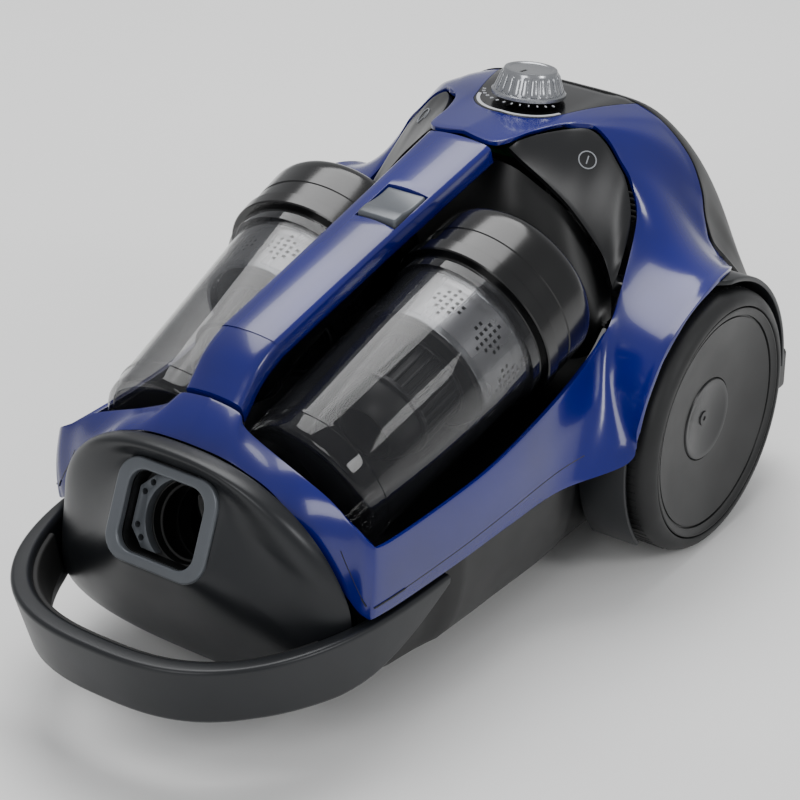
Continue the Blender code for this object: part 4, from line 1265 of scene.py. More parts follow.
@dataclass
class LowerBody:
    """Black tray under the machine, the liner of the bin bay and the bulkhead behind it."""

    stations: tuple[Point, ...] = (
        (-284, 95, 60), (-274, 97, 78), (-240, 98.5, 87), (-226, 99, 89), (-213, 111, 91),
        (-170, 112.5, 92), (-122, 113.5, 93), (-100, 111, 93), (-90, 103.5, 93), (0, 103.5, 93),
        (92, 103.5, 92), (102, 109, 90), (112, 107, 84), (116.5, 98, 74))
    floor: float = 20.0
    liner_wall: float = 2.2

    def tray_row(self, y: float, half: float, floor: float, closed: bool = False) -> list[Vector]:
        """Half a cross-section of the tray.

        Args:
            y: its place along the machine.
            half: half the width at its top.
            floor: half the width at its floor.
            closed: whether it lies flat along the top edge, as the end walls do there.

        Returns:
            Its points, from the top edge to the middle.
        """
        points = [Vector((half, y, BELT_Z)), Vector((half + 1, y, 52)),
                  Vector((floor + 9, y, self.floor)), Vector((floor - 8, y, self.floor))]
        row = [bezier(*points, k / 12) for k in range(13)] + [Vector((0, y, self.floor))]
        return [Vector((p.x, y, BELT_Z)) for p in row] if closed else row

    def build_tray(self) -> None:
        """Build the tray, with the caster's well."""
        rows = [self.tray_row(*self.stations[0], closed=True)]
        for a, b in zip(self.stations, self.stations[1:]):
            steps = max(2, int((b[0] - a[0]) / 5))
            for k in range(steps):
                t = k / steps
                ease = t * t * (3 - 2 * t)
                rows.append(self.tray_row(a[0] + (b[0] - a[0]) * t, a[1] + (b[1] - a[1]) * ease,
                                          a[2] + (b[2] - a[2]) * ease))
        rows.append(self.tray_row(*self.stations[-1]))
        rows.append(self.tray_row(*self.stations[-1], closed=True))
        tray = both_halves("lower_tray", rows)
        wall(tray, WALL)
        bake(tray)
        well = turn("caster_well", [(0, 0), (31, 0), (31, 35), (0, 35)], 64, False)
        cut(tray, aim(well, at(0, -238, 0), (0, 0, 1)))
        soften(tray, 1.6, 3, 50)
        settle(tray, GRAINED_BLACK, "body", "black_plastic", "chassis", sharp=55)

    def bay_ribs(self) -> list[list[Vector]]:
        """Ribs of the bay's right half.

        Returns:
            Bezier ribs from its top edge to the middle of its floor.
        """
        edges = [((0, -279.5, 157), -265), ((19, -279.5, 156), -263.3), ((27, -280.5, 154.5), -262),
                 ((45, -280.5, 149), -259.5), ((76, -281.5, 137), -256), ((90, -282, 127), -252),
                 ((100, -281, 121), -246), ((103.3, -272, 118), -238), ((104.3, -220, 118), -205),
                 ((105.2, -175, 121), -170), ((105.5, -118, 133), -118), ((101.5, -78, 141), -80),
                 ((97.5, -54, 150), -58)]
        ribs = []
        for (x, y, z), y_end in edges:
            floor = 72 + 0.23 * (y_end + 262)
            ahead = 6 if y < -278 else 0
            ribs.append([Vector((x, y, z)), Vector((x * 0.985, y + ahead, floor + 8)),
                         Vector((x * 0.88, (y + 2 * y_end) / 3, floor)), Vector((0, y_end, floor))])
        return ribs

    def build_bay(self) -> None:
        """Build the liner and the bulkhead."""
        rows = rib_rows(self.bay_ribs(), 6, 14)
        liner = both_halves("bay_lining", rows, rows[0] + [row[-1] for row in rows])
        wall(liner, self.liner_wall, (0, -160, -2000))
        nose = Nose()
        cut(liner, nose.bore("bay_inlet", 24.8, -90, -38, nose.port_x))
        soften(liner, 0.5, 2, 55)
        settle(liner, GRAINED_BLACK, "body", "black_plastic", "bay_liner", sharp=50)

        base = rib_rows(self.bay_ribs(), 1, 5)[-1]
        base[-1].x = 0.0
        marks = ((96, -43, 151), (84, -25, 158), (69, -22, 181), (55, -27, 201), (40, -33, 214),
                 (24, -40, 226), (0, -42, 228))
        top = spline([Vector(p) for p in marks], 4)
        rows = []
        for k, start in enumerate(top):
            share = k / (len(top) - 1) * (len(base) - 1)
            low = base[int(share)].lerp(base[min(int(share) + 1, len(base) - 1)], share % 1)
            end = low + Vector((0, 5, 1))
            rows.append([start.lerp(end, t / 12) + Vector((0, -8 * math.sin(math.pi * t / 12), 0))
                         for t in range(13)])
        panel = both_halves("intake_bulkhead", rows, rows[-1])
        wall(panel, self.liner_wall, (0, 100, 180))
        settle(panel, GRAINED_BLACK, "body", "black_plastic", "rear_bulkhead", sharp=50)

    def build(self) -> None:
        """Build the tray and the bay."""
        self.build_tray()
        self.build_bay()


@dataclass
class Tail:
    """Black cover behind the deck, with the exhaust grille and bumpers."""

    vent: tuple[float, float, float, float] = (-46.0, 106.0, 46.0, 166.0)
    slats: int = 11
    slat_rise: float = 4.2
    slat_lean: float = 28.0
    outlet_x: float = 72.0
    outlet_z: float = 104.0
    outlet_r: float = 9.0

    def surface(self, name: str) -> bpy.types.Object:
        """Tail cover's shell, both halves.

        Args:
            name: the object's name.

        Returns:
            The shell.
        """
        low, y, back = BELT_Z + 1.2, DECK_Y + 1.0, 118.0
        ribs = [
            ((0, y, 239.5), (0, 95, 231), (0, back - 1, 170), (0, back, low)),
            ((44, y, 238.5), (44, 95, 228), (48, back - 2, 165), (48, back, low)),
            ((66, y, 230.3), (68, 95, 215), (74, 115, 150), (76, back - 0.5, low)),
            ((85, y, 213.2), (84, 92, 196), (92, 112, 140), (95, back - 1, low)),
            ((94.5, y, 194.7), (92, 88, 172), (104, 108, 128), (108, back - 2, low)),
            ((98, y, 177.7), (97, 85, 152), (112, 104, 121), (118, back - 4.5, low)),
            ((104, y, 163), (106, 80, 140), (118, 101, 117), (124, back - 10, low)),
            ((112, y, 156), (114, 78, 136), (122, 97, 113), (127, back - 17, low)),
        ]
        rows = rib_rows([[Vector(p) for p in rib] for rib in ribs], 7, 22)
        piece = both_halves(name, rows, rows[0])
        wall(piece, WALL)
        return bake(piece)

    def build(self) -> None:
        """Build the cover, the grille with its slats, the outlet bush and the bumpers."""
        x0, z0, x1, z1 = self.vent
        shell = self.surface("tail_cover")
        cut(shell, block("vent_opening", (x0, 90, z0), (x1, 130, z1)))
        outlet, r = at(self.outlet_x, 0, self.outlet_z), self.outlet_r
        hole = turn("outlet_hole", [(0, 90), (r, 90), (r, 130), (0, 130)], 48, False)
        cut(shell, aim(hole, outlet, (0, 1, 0)))
        soften(shell, 0.7, 3, 55)
        settle(shell, GRAINED_BLACK, "body", "black_plastic", "rear_cover", sharp=50)

        panel = self.surface("vent_frame")
        cut(panel, block("vent_blank", (x0 + 0.4, 90, z0 + 0.4), (x1 - 0.4, 130, z1 - 0.4)),
            keep=True)
        cut(panel, block("vent_window", (x0 + 7, 90, z0 + 7), (x1 - 7, 130, z1 - 7)))
        soften(panel, 0.5, 2, 55)
        settle(panel, GRAINED_BLACK, "body", "black_plastic", "exhaust_grille", sharp=50)

        width = x1 - x0 - 13
        slat = loft("vent_slats", [[local(x, u, v)
                                    for u, v in rounded_rectangle(4.6, 1.4, 0.6, 3)]
                                   for x in (-width / 2, width / 2)])
        slat.data.transform(Matrix.Rotation(math.radians(self.slat_lean), 4, "X"))
        repeat(slat, GRAINED_BLACK, self.slats, rise=self.slat_rise)
        aim(slat, at(0, 113.6, z0 + 9), (0, -0.105, 1))
        settle(slat, GRAINED_BLACK, "body", "black_plastic")

        profile = [(4, 104), (8.5, 104), (8.5, 116), (8.0, 117), (7.2, 117.4), (5.0, 117.4),
                   (4, 116.6)]
        bush = aim(turn("cord_bush", profile, 48), outlet, (0, 1, 0))
        settle(bush, SEAL_RUBBER, "body", "soft_rubber", "cord_outlet")
        for side in Side:
            xs = sorted((side.value * 112, side.value * 130))
            foot = block(f"bumper_{side.label}", (xs[0], 97, 48), (xs[1], 117.6, 76))
            soften(foot, 4.0, 6)
            settle(foot, GRAINED_BLACK, "body", "black_plastic", f"rear_foot_{side.label}")


@dataclass
class RoadWheel:
    """Large rear wheel on one side, with the arch over it."""

    side: Side
    out: float = 147.0
    tyre_w: float = 35.0
    cap_r: float = 70.0
    dish: float = 9.0
    disc_r: float = 25.0
    bars: int = 90
    arch_r: float = WHEEL_R + 4.0
    arch_wall: float = 3.2
    arch_from: float = -38.0
    arch_to: float = 180.0
    arch_steps: int = 109

    def on_axle(self, piece: bpy.types.Object) -> bpy.types.Object:
        """Turn a piece made about Z on to the wheel's axle."""
        return aim(piece, at(0, 0, WHEEL_R), (self.side.value, 0, 0))

    def build_tyre(self) -> None:
        """Build the tyre and the fine bars of its tread."""
        out, inner, r, label = self.out, self.out - self.tyre_w, WHEEL_R, self.side.label
        body = f"wheel_{label}"
        outer = [(r - 8.5 + 8.1 * u, out - 9 + 9.4 * v) for u, v in arc(0, 0, 1, 90, 0, 8)]
        profile = [(self.cap_r + 0.6, out - 9), (self.cap_r + 0.6, out - 0.2)]
        profile += [(self.cap_r + 1.0, out + 0.3)] + outer
        profile += [(r - 0.4, inner + 8), (r - 1.2, inner + 3.5), (r - 3.4, inner + 1),
                    (r - 7, inner), (self.cap_r - 4, inner), (self.cap_r - 4, out - 10)]
        tyre = self.on_axle(turn(f"tyre_body_{label}", profile, WIDE_STEPS))
        settle(tyre, WHEEL_RUBBER, body, "tyre_rubber", f"tyre_{label}", sharp=45)
        bar = loft(f"tread_bars_{label}",
                   [[local(r - 0.9 + u, v, h) for u, v in rounded_rectangle(1.7, 1.5, 0.4, 2)]
                    for h in (inner + 8, out - 9.5)])
        repeat(bar, WHEEL_RUBBER, self.bars, turn_by=360 / self.bars)
        settle(self.on_axle(bar), WHEEL_RUBBER, body, "tyre_rubber")

    def build_cap(self) -> None:
        """Build the dished cap with its groove, and the disc at its centre."""
        out, label, rim = self.out, self.side.label, self.cap_r
        body = f"wheel_{label}"
        dish = out - self.dish
        face = []
        for k in range(13):
            t = k / 12
            r = self.disc_r + 0.5 + (rim - 7.5 - self.disc_r) * t
            face.append((r, dish + (self.dish - 2.6) * t ** 1.7))
        groove = [(rim - 6.4, out - 2.4), (rim - 6.1, out - 3.3), (rim - 5.3, out - 3.3),
                  (rim - 5.0, out - 2.0)]
        edge = [(rim - 2.0, out - 0.9), (rim - 1.1, out - 0.1), (rim - 0.4, out - 0.2),
                (rim, out - 0.9), (rim, out - 4)]
        back = [(50, out - 9), (self.disc_r + 0.5, dish - 2.5)]
        cap = self.on_axle(turn(f"wheel_dish_{label}", face + groove + edge + back, WIDE_STEPS))
        settle(cap, GRAINED_BLACK, body, "black_plastic", f"wheel_cap_{label}", sharp=30)
        disc = [(0, dish - 1.9), (1.2, dish - 1.9), (1.5, dish - 1.2), (4.2, dish - 1.2)]
        disc += [(4.5, dish - 1.9)]
        for k in range(9):
            t = k / 8
            disc.append((5.5 + (self.disc_r - 7) * t, dish - 1.9 + 2.7 * t ** 1.6))
        disc += [(self.disc_r - 0.6, dish + 0.7), (self.disc_r, dish), (self.disc_r, dish - 2.5),
                 (0, dish - 3.2)]
        centre = self.on_axle(turn(f"wheel_centre_{label}", disc, ROUND_STEPS, False))
        settle(centre, SATIN_CHARCOAL, body, "gunmetal", f"hub_disc_{label}", sharp=30)

    def build_arch(self) -> None:
        """Build the grey arch, whose lip shows behind and above the tyre."""
        rings = []
        for k in range(self.arch_steps + 1):
            degrees = self.arch_from + (self.arch_to - self.arch_from) * k / self.arch_steps
            a = math.radians(degrees)
            ease = min(1.0, max(0.0, (degrees - 90) / 9))
            out_x = self.out - 12 + 7.5 * ease * ease * (3 - 2 * ease)
            r1, r2 = self.arch_r, self.arch_r + self.arch_wall
            x2 = self.out - self.tyre_w - 4
            x1 = x2 - self.arch_wall
            profile = [(out_x - 1, r2), (x1, r2), (x1, 24), (x2, 24), (x2, r1), (out_x - 1, r1),
                       (out_x - 0.3, r1 + 0.3), (out_x, r1 + 1), (out_x, r2 - 1),
                       (out_x - 0.3, r2 - 0.3)]
            rings.append([Vector((self.side.value * x, -r * math.cos(a), WHEEL_R + r * math.sin(a)))
                          for x, r in profile])
        arch = loft(f"arch_lip_{self.side.label}", rings)
        settle(arch, SATIN_GUNMETAL, "body", "gunmetal", f"wheel_arch_{self.side.label}")

    def build(self) -> None:
        """Build the tyre, the cap and the arch."""
        self.build_tyre()
        self.build_cap()
        self.build_arch()


@dataclass
class Caster:
    """Small swivelling wheel under the nose."""

    y: float = -238.0
    radius: float = 14.0
    half: float = 7.0
    trail: float = 11.0
    bowl_r: float = 31.0
    roof: float = 42.0

    def build(self) -> None:
        """Build the housing and the roller; the fork and its pin stay as they are."""
        b, roof, floor = self.bowl_r, self.roof, 22.9
        housing = turn("caster_bowl", [
            (5.4, roof + 8), (9, roof + 8), (9, roof + 2.5), (b + 1.5, roof + 2.5),
            (b + 2.5, roof + 1.5), (b + 2.5, floor + 2.5), (b + 6, floor + 2.5), (b + 6, floor),
            (b, floor), (b, roof), (5.4, roof)])
        aim(housing, at(0, self.y, 0), (0, 0, 1))
        settle(housing, GRAINED_BLACK, "body", "black_plastic", "caster_housing", sharp=30)
        r, h = self.radius, self.half
        profile = [(2.3, h), (4.5, h), (5, h - 1), (9.5, h - 1), (10, h), (r - 1.6, h)]
        profile += [(r - 0.5, h - 0.5), (r, h - 1.6), (r, 1), (r - 0.6, 0.5), (r - 0.6, -0.5),
                    (r, -1), (r, 1.6 - h), (r - 0.5, 0.5 - h), (r - 1.6, -h), (10, -h),
                    (9.5, 1 - h), (5, 1 - h), (4.5, -h), (2.3, -h)]
        roller = aim(turn("caster_roller_wheel", profile, 64), at(0, self.y + self.trail, r),
                     (1, 0, 0))
        settle(roller, WHEEL_RUBBER, "caster_roller", "black_plastic", "caster_wheel", sharp=30)


@dataclass
class SuctionKnob:
    """Fluted silver knob on the dial plate, with the plate's marks."""

    y: float = 14.5
    seat_z: float = 244.6
    radius: float = 22.0
    top_r: float = 16.3
    height: float = 16.0
    base: float = 1.6
    tilt: float = math.radians(8.0)
    flutes: int = 22
    ticks: int = 13
    tick_turn: float = 11.0

    @property
    def axis(self) -> Point:
        """Direction of the knob's axis."""
        return (0.0, math.sin(self.tilt), math.cos(self.tilt))

    def seat(self, piece: bpy.types.Object) -> bpy.types.Object:
        """Stand a piece made about Z on the dial plate."""
        return aim(piece, at(0, self.y, self.seat_z), self.axis)

    def build(self) -> None:
        """Build the knob, its flutes, its pointer and the ticks round it."""
        top, b = self.base + self.height, self.base
        profile = [(0, top - 0.7), (self.top_r - 4.2, top - 0.7), (self.top_r - 3.4, top - 0.2),
                   (self.top_r - 2.2, top), (self.top_r - 0.9, top - 0.4),
                   (self.top_r - 0.2, top - 1.4)]
        for k in range(1, 9):
            t = k / 8
            profile.append((self.top_r - 0.2 + (self.radius - 1.6 - self.top_r) * t ** 1.3,
                            top - 1.4 - (self.height - 4.4) * t))
        profile += [(self.radius - 0.6, b + 2.7), (self.radius, b + 2.1), (self.radius, b + 0.3),
                    (self.radius - 0.4, b), (4, b), (4, -13), (0, -13)]
        knob = self.seat(turn("knob_body", profile, WIDE_STEPS, False))
        settle(knob, SATIN_SILVER, "knob", "silver", "suction_knob", sharp=28)

        rings = []
        for k in range(9):
            t = k / 8
            h = b + 3.0 + (self.height - 5.2) * t
            r = self.radius - 1.7 - (self.radius - 1.6 - self.top_r) * (t ** 0.8)
            w = (2.3 - 0.6 * t) * (0.55 if k in (0, 8) else 1.0)
            p = 0.9 if 0 < k < 8 else 0.2
            rings.append([local(r + p * math.sin(a), w * math.cos(a), h)
                          for a in (math.pi * i / 8 for i in range(9))]
                         + [local(r - 1.2, -w, h), local(r - 1.2, w, h)])
        flute = loft("knob_flutes", rings)
        repeat(flute, SATIN_SILVER, self.flutes, turn_by=360 / self.flutes)
        settle(self.seat(flute), SATIN_SILVER, "knob", "silver")

        mark = block("knob_pointer", (-0.7, -13 - AXLE_Y, top - 0.9),
                     (0.7, -5 - AXLE_Y, top - 0.55))
        settle(self.seat(mark), SEAL_RUBBER, "knob", "soft_rubber")

        tick = block("dial_ticks", (25.2, -0.35 - AXLE_Y, 1.2), (27.2, 0.35 - AXLE_Y, 1.75))
        first = -90 - self.tick_turn * (self.ticks - 1) / 2
        repeat(tick, SCALE_INK, self.ticks, turn_by=self.tick_turn, first=first)
        settle(self.seat(tick), SCALE_INK, "body", "silver")


@dataclass
class Pedal:
    """Foot pedal beside the knob, shaped like a fin, with its symbol."""

    side: Side
    thickness: float = 4.5

    @property
    def is_power(self) -> bool:
        """Whether this pedal switches the power; the other rewinds the cord."""
        return self.side is Side.RIGHT

    def rows(self, along: int, across: int) -> Rows:
        """Points of the pedal's upper face.

        Args:
            along: pieces from one rib to the next.
            across: pieces along a rib.

        Returns:
            Rows of points.
        """
        ribs = []
        for rear, front in (
                ((28, -39, 241.6), (26, -45, 239.2)), ((32.5, -25, 241.9), (34, -43, 232.4)),
                ((41, -8, 241.3), (45, -38, 222)), ((50, 2, 240.2), (57, -33.5, 210)),
                ((60, 3.6, 233.8), (66, -31, 199.5)), ((68.6, 3, 224.2), (74, -29.5, 189.5)),
                ((76, 1.6, 214.6), (80.5, -29, 181)), ((82.6, -2.8, 199.8), (85.5, -31, 174)),
                ((86.4, -11, 186.8), (89.5, -33.5, 168)), ((92, -33, 168.6), (92.4, -36, 165))):
            a, d = Vector(rear), Vector(front)
            crown = Vector((0.8, -0.6, 1.2)) * ((d - a).length / 40)
            ribs.append([a, a + (d - a) / 3 + crown, d - (d - a) / 3 + crown * 1.3, d])
        rows = rib_rows(ribs, along, across)
        for row in rows:
            for point in row:
                point.x *= self.side.value
        return rows

    def symbol(self, rows: Rows) -> bpy.types.Object:
        """Raised print: a ring with a bar for power, or an open ring with a tail.

        Args:
            rows: points of the pedal's upper face.

        Returns:
            The print.
        """
        i, k = int(len(rows) * 0.37), int(len(rows[0]) * 0.36)
        here = rows[i][k]
        ahead, aside = rows[i + 3][k] - here, rows[i][k + 1] - here
        normal = ahead.cross(aside).normalized()
        normal = normal if normal.z > 0 else -normal
        up = (rows[i][0] - rows[i][-1]).normalized()
        up = (up - normal * up.dot(normal)).normalized()
        across = up.cross(normal)
        gap = 0.0 if self.is_power else 70.0
        strokes = [arc(0, 0, 5.2, gap - 90, 270 - gap * 0.2, 48)]
        strokes.append([(0, 2.6), (0, -2.6)] if self.is_power
                       else [(-1.5, -5.0), (2.5, -1.2), (2.5, 3.0)])
        body = bpy.data.meshes.new("symbol")
        shape = bmesh.new()
        for stroke in strokes:
            rings = []
            for n, (x, y) in enumerate(stroke):
                x2, y2 = stroke[min(n + 1, len(stroke) - 1)]
                x1, y1 = stroke[max(n - 1, 0)]
                run = Vector((x2 - x1, y2 - y1, 0)).normalized()
                side = Vector((-run.y, run.x, 0)) * 0.4
                rings.append([shape.verts.new(at(*(here + across * p.x + up * p.y + normal * h)))
                              for p, h in ((Vector((x, y, 0)) + side, 0.1),
                                           (Vector((x, y, 0)) + side * 0.8, 0.45),
                                           (Vector((x, y, 0)) - side * 0.8, 0.45),
                                           (Vector((x, y, 0)) - side, 0.1))])
            for a, b in zip(rings, rings[1:]):
                for n in range(4):
                    shape.faces.new((a[n], a[(n + 1) % 4], b[(n + 1) % 4], b[n]))
            shape.faces.new(rings[0])
            shape.faces.new(rings[-1])
        bmesh.ops.recalc_face_normals(shape, faces=shape.faces)
        shape.to_mesh(body)
        shape.free()
        return show("power_symbol" if self.is_power else "rewind_symbol", body)

    def build(self) -> None:
        """Build the pedal and its symbol."""
        name = "power" if self.is_power else "rewind"
        rows = self.rows(8, 16)
        pedal = sheet(f"{name}_pedal_moulding", rows)
        wall(pedal, self.thickness)
        soften(pedal, 1.1, 3, 55)
        settle(pedal, SATIN_CHARCOAL, f"{name}_press", "black_plastic", f"{name}_pedal", sharp=50)
        settle(self.symbol(rows), PRINT_INK, f"{name}_press", "grey_plastic")


@dataclass
class DustBin:
    """Twin clear cups under a blue spine, with collars, screens and inner tubes."""

    x: float = 45.5
    y: float = -262.8
    z: float = 125.0
    spread: float = 0.075
    rise: float = 0.312
    cup_r: float = 43.5
    taper: float = 3.0
    cup_l: float = 141.0
    collar_r: float = 53.0
    collar_l: float = 46.0
    screen_r: float = 41.5
    screen_l: float = 39.0
    columns: int = 126
    lines: int = 16
    cluster: int = 14
    cluster_reach: int = 6
    tube_r: float = 25.0
    tube_l: float = 92.0
    fins: int = 30
    button_x: float = 4.0
    button_y: float = -128.0
    button_w: float = 27.0
    button_l: float = 32.0

    def axis(self, side: Side) -> Vector:
        """Direction of one cup's axis, to the rear."""
        return Vector((side.value * self.spread, 1.0, self.rise)).normalized()

    def on_axis(self, piece: bpy.types.Object, side: Side) -> bpy.types.Object:
        """Put a piece made about Z on one cup's axis."""
        return aim(piece, at(side.value * self.x, self.y, self.z), self.axis(side))

    def spine_line(self) -> list[Vector]:
        """Edge line of the spine.

        Returns:
            Its points, from the nose to the deck.
        """
        marks = [(-283, 172.3), (-276, 180), (-265, 190.5), (-250, 198), (-230, 203),
                 (-53, 243.2)]
        line = spline([Vector((0, y, z)) for y, z in marks], 24)
        return [p for p in line if -280.8 <= p.y <= -56.2]

    def spine_z(self, y: float) -> float:
        """Height of the spine's edges.

        Args:
            y: the place along the machine.

        Returns:
            The height there.
        """
        line = self.spine_line()
        for a, b in zip(line, line[1:]):
            if y <= b.y:
                return a.z + (b.z - a.z) * (y - a.y) / (b.y - a.y)
        return line[-1].z

    def sloped_block(self, name: str, low: Point, high: Point) -> bpy.types.Object:
        """Box whose top and foot follow the spine's slope.

        Args:
            name: the object's name.
            low: its lower left front corner, before the slope is added about its middle.
            high: the opposite corner.

        Returns:
            The box.
        """
        middle = (low[1] + high[1]) / 2
        rings = []
        for y in (low[1], high[1]):
            shift = self.rise * 0.72 * (y - middle)
            rings.append([Vector((x, y, z + shift)) for x, z in
                          ((low[0], low[2]), (high[0], low[2]), (high[0], high[2]),
                           (low[0], high[2]))])
        return loft(name, rings)

    def build_spine(self) -> None:
        """Build the spine, its latch button and the centre duct under it."""
        lean = Vector((0, -self.rise, 1)).normalized()
        rings = []
        for edge in self.spine_line():
            share = max(0.0, (edge.y + 283) / 230)
            half = 18.8 + 3.2 * share ** 2 - 0.4
            right = [(half - 1.6, -12.0), (half - 0.4, -11.4), (half, -10.2), (half, -1.9),
                     (half - 0.3, -1.0), (half - 1.0, -0.3)]
            right += [(half * u, 2.6 * (1 - u * u) ** 0.9) for u in (0.88, 0.7, 0.5, 0.25)]
            ring = right + [(0, 2.6)] + [(-x, up) for x, up in reversed(right)]
            rings.append([edge + Vector((x, 0, 0)) + lean * up for x, up in ring])
        spine = loft("carrying_spine", rings)
        w, l, z = self.button_w / 2, self.button_l / 2, self.spine_z(self.button_y)
        x, y = self.button_x, self.button_y
        cut(spine, self.sloped_block("button_pocket", (x - w, y - l, z - 6),
                                     (x + w, y + l, z + 30)))
        soften(spine, 0.6, 3, 50)
        settle(spine, GLOSS_BLUE, "dust_bin", "blue_shell", "bin_handle", sharp=45)

        w, l = w - 0.6, l - 1.2
        button = self.sloped_block("latch_button", (x - w, y - l, z - 2.6),
                                   (x + w, y + l, z + 4.4))
        dent = turn("finger_dent", [(0, -60), (60, -60), (60, 60), (0, 60)], 96, False)
        cut(button, aim(dent, at(x, y - 3, z + 62.6), (1, 0, 0)))
        soften(button, 1.8, 4)
        settle(button, SATIN_GREY, "latch", "light_grey", "bin_button")

        rings = []
        for y in (-255, -225, -190, -155, -128, -100, -72):
            foot = self.z + self.rise * (y - self.y) + 35.0
            top = max(self.spine_z(y) - 13.6, foot + 4)
            rings.append([Vector((u, y, v)) for u, v in
                          ((-10, foot), (10, foot), (10, top), (-10, top))])
        duct = loft("centre_duct", rings)
        soften(duct, 1.2, 3, 60)
        settle(duct, POLISHED_BLACK, "dust_bin", "black_plastic", "bin_frame")

    def build_cup(self, side: Side) -> None:
        """Build one cup with its collar.

        Args:
            side: the side of the machine that it is on.
        """
        r, length = self.cup_r, self.cup_l
        end = r + self.taper
        outer = [(0, 0), (r - 6, 0)] + [(r - 5 + u, 5 - v) for u, v in
                                        ((5 * math.sin(a), 5 * math.cos(a)) for a in
                                         (math.pi / 2 * k / 6 for k in range(7)))]
        outer += [(r + 0.3, 14), (r + 0.9, 14.4), (r + 0.9, 16.2), (r + 0.4, 16.6)]
        outer += [(end - 0.2, length - 6), (end + 2.5, length - 6), (end + 2.5, length)]
        inner = [(end - 2, length), (end - 2.3, length - 7), (r - 1.9, 7), (r - 2.9, 4.2),
                 (r - 5.2, 2.6), (0, 2.4)]
        cup = self.on_axis(turn(f"clear_cup_{side.label}", outer + inner, ROUND_STEPS, False), side)
        settle(cup, SMOKED_CUP, "dust_bin", "smoke_clear", f"cup_{side.label}", sharp=35)

        lip, cr = length + 0.5, self.collar_r
        back = lip + self.collar_l
        profile = [(0, lip + 6), (cr - 12, lip + 6), (cr - 11, lip + 1), (cr - 10.2, lip),
                   (cr - 4.6, lip), (cr - 4, lip + 0.6), (cr - 4, lip + 3), (cr - 0.7, lip + 3),
                   (cr, lip + 3.7), (cr, lip + 11.3), (cr - 0.7, lip + 12), (cr - 1.5, lip + 12.6),
                   (cr - 1.5, lip + 22), (cr - 2.1, lip + 22.5), (cr - 2.1, lip + 24),
                   (cr - 1.5, lip + 24.5)]
        for k in range(15):
            a = math.pi / 2 * k / 14
            u, v = superellipse(cr - 1.7, 20.5, 2.5, a)
            profile.append((max(u, 0.0), back - 8 + v))
        collar = self.on_axis(turn(f"cup_collar_{side.label}", profile, ROUND_STEPS, False), side)
        settle(collar, POLISHED_BLACK, "dust_bin", "black_plastic", f"collar_{side.label}",
               sharp=28)

    def build_screen(self, side: Side) -> None:
        """Build one perforated screen with its end bands, and the finned tube in front of it.

        Args:
            side: the side of the machine that it is on.
        """
        end = self.cup_l - 1
        screen = make_object(f"screen_{side.label}", [Vector((0, 0, 0))], [])
        run_tree(screen, sieve_tree(BRUSHED_SCREEN),
                 {"Radius": self.screen_r * MM, "Height": (self.screen_l - 8) * MM,
                  "Columns": self.columns, "Lines": self.lines, "Cluster": self.cluster,
                  "Spread": self.cluster_reach})
        screen.data.transform(Matrix.Translation((0, 0, (end - self.screen_l / 2) * MM)))
        thick = screen.modifiers.new("wall", "SOLIDIFY")
        thick.thickness = 0.8 * MM
        thick.offset = -1.0
        settle(self.on_axis(screen, side), BRUSHED_SCREEN, "dust_bin", "silver",
               f"grille_{side.label}", sharp=50)
        r, low = self.screen_r, end - self.screen_l
        for name, h in (("front", low), ("rear", end - 4.2)):
            ring = turn(f"screen_band_{name}_{side.label}",
                        [(r - 1.8, h), (r + 0.2, h), (r + 0.6, h + 0.5), (r + 0.6, h + 3.7),
                         (r + 0.2, h + 4.2), (r - 1.8, h + 4.2)])
            settle(self.on_axis(ring, side), SATIN_SILVER, "dust_bin", "silver", sharp=30)
        core = turn(f"screen_core_{side.label}",
                    [(0, low + 1), (r - 6, low + 1), (r - 4, low + 4), (r - 4, end), (0, end)],
                    64, False)
        settle(self.on_axis(core, side), GRAINED_BLACK, "dust_bin", "black_plastic", sharp=30)

        c, foot = self.tube_r, self.cup_l - self.tube_l
        tube = turn(f"inner_tube_{side.label}", [
            (c - 2, low + 0.5), (c, low + 0.5), (c, foot + 16), (c - 1.2, foot + 9),
            (c - 4, foot + 3), (c - 7, foot), (c - 8.4, foot), (c - 6, foot + 4),
            (c - 3.2, foot + 10), (c - 2, foot + 17)])
        settle(self.on_axis(tube, side), GRAINED_BLACK, "dust_bin", "black_plastic",
               f"cyclone_{side.label}", sharp=40)
        fin = loft(f"tube_fins_{side.label}",
                   [[local(c + 0.9 + u, v, h) for u, v in rounded_rectangle(3.0, 1.6, 0.6, 2)]
                    for h in (foot + 20, low - 3)])
        repeat(fin, SATIN_CHARCOAL, self.fins, turn_by=360 / self.fins)
        settle(self.on_axis(fin, side), SATIN_CHARCOAL, "dust_bin", "black_plastic", sharp=40)
        for h in (foot + 18, low - 3.5):
            band = turn(f"tube_band_{int(h)}_{side.label}",
                        [(c - 0.5, h), (c + 2.7, h), (c + 3, h + 0.4), (c + 3, h + 2.2),
                         (c + 2.7, h + 2.6), (c - 0.5, h + 2.6)])
            settle(self.on_axis(band, side), SATIN_CHARCOAL, "dust_bin", "black_plastic", sharp=30)

    def build(self) -> None:
        """Build the spine and both cups."""
        self.build_spine()
        for side in Side:
            self.build_cup(side)
            self.build_screen(side)


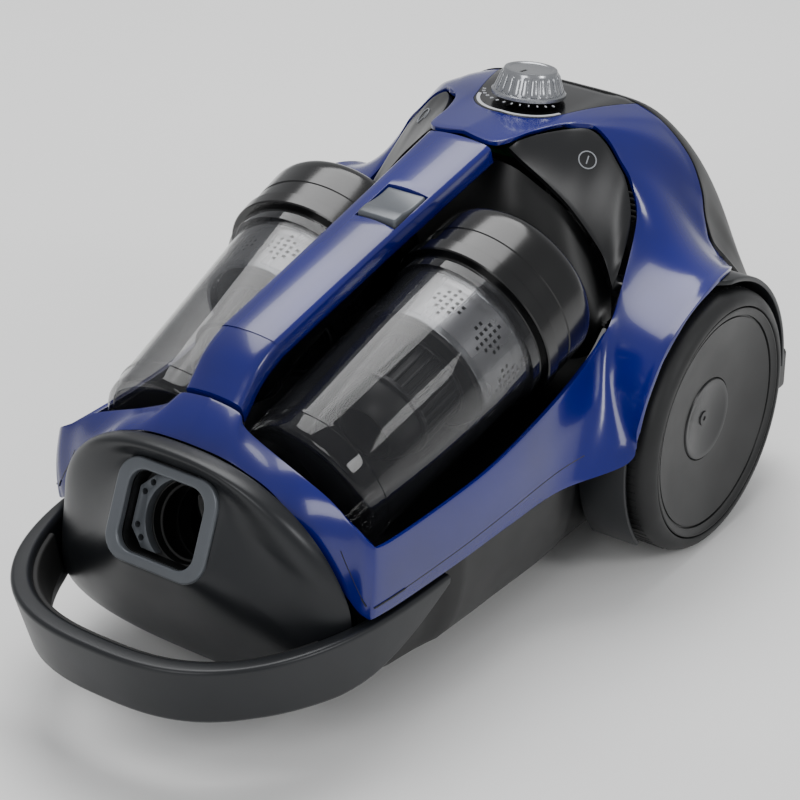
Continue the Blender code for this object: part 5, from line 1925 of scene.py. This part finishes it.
@dataclass
class InnerWorks:
    """Pieces inside the shell that keep their own shape and only take their finish."""

    nodes: dict[str, bpy.types.Object]

    def build(self) -> None:
        """Dress every node that no piece stands for."""
        finishes: dict[Finish, tuple[str, ...]] = {
            GRAINED_BLACK: ("motor_housing", "power_switch", "wheel_hub_left", "wheel_hub_right"),
            SATIN_GUNMETAL: ("caster_fork",),
            TURNED_STEEL: ("wheel_axle_left", "wheel_axle_right", "motor_shaft", "caster_pin",
                           "reel_bracket"),
            SATIN_SILVER: ("fan",),
            SEAL_RUBBER: ("motor_mount",),
            FILTER_FOAM: ("pre_filter", "exhaust_filter"),
            ENAMEL_COPPER: ("armature",),
            SOLDER_MASK: ("control_board",),
            REEL_NYLON: ("potentiometer", "cord_drum"),
        }
        for finish, names in finishes.items():
            for name in names:
                mesh = self.nodes[name].data
                mesh.materials.clear()
                mesh.materials.append(finish.material())
                LOG.info("%s keeps its shape", name)


@dataclass
class Studio:
    """Pale floor, soft lights and the camera.

    A lamp's values are its name, its place in metres, its side in metres and its power in watts.
    """

    camera_place: Point = (0.76712, -1.05288, 0.81337)
    camera_turn: Point = (61.583, 0.0, 35.553)
    lens: float = 117.15
    target: Point = (0.0, 0.0, 0.12)
    lamps: tuple[tuple[str, Point, float, float], ...] = (
        ("overhead", (-0.5, 0.7, 2.1), 1.6, 46.0), ("front_fill", (0.3, -2.1, 1.5), 1.0, 16.0),
        ("right_strip", (1.9, 0.1, 1.3), 0.5, 9.0))
    sky: str = "#F2F3F5"
    sky_strength: float = 0.6
    floor_reach: float = 6.0

    def build_floor(self) -> None:
        """Build the floor."""
        data = bpy.data.meshes.new("floor")
        shape = bmesh.new()
        bmesh.ops.create_grid(shape, x_segments=1, y_segments=1, size=self.floor_reach)
        shape.to_mesh(data)
        shape.free()
        data.materials.append(STUDIO_FLOOR.material())
        show("floor", data)

    def build_lights(self) -> None:
        """Build the square soft lamps, which point at the machine, and the world's light."""
        for name, place, size, power in self.lamps:
            data = bpy.data.lights.new(name, "AREA")
            data.shape = "SQUARE"
            data.size = size
            data.energy = power
            lamp = show(name, data)
            lamp.location = place
            ahead = Vector(self.target) - Vector(place)
            lamp.rotation_euler = ahead.to_track_quat("-Z", "Y").to_euler()
        world = bpy.data.worlds.new("studio")
        bpy.context.scene.world = world
        world.use_nodes = True
        backdrop = world.node_tree.nodes["Background"]
        backdrop.inputs["Color"].default_value = linear(self.sky)
        backdrop.inputs["Strength"].default_value = self.sky_strength

    def build_camera(self) -> None:
        """Build the camera and make it the scene's."""
        lens = bpy.data.cameras.new("camera")
        lens.lens = self.lens
        lens.sensor_width = 36.0
        camera = show("camera", lens)
        camera.location = self.camera_place
        camera.rotation_euler = [math.radians(a) for a in self.camera_turn]
        bpy.context.scene.camera = camera

    def build(self) -> None:
        """Build the floor, the lights and the camera."""
        self.build_floor()
        self.build_lights()
        self.build_camera()


def main() -> None:
    """Build the studio and every assembly round the frame."""
    logging.basicConfig(level=logging.INFO, format="%(message)s")
    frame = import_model()
    cover = UpperCover()
    assemblies = [Studio(), cover, Seams(cover), Nose(), FrontHandle(), LowerBody(), Tail(),
                  RoadWheel(Side.LEFT), RoadWheel(Side.RIGHT), Caster(), SuctionKnob(),
                  Pedal(Side.LEFT), Pedal(Side.RIGHT), DustBin(), InnerWorks(frame["nodes"])]
    for assembly in assemblies:
        LOG.info("building %s", type(assembly).__name__)
        assembly.build()


if __name__ == "__main__":
    main()
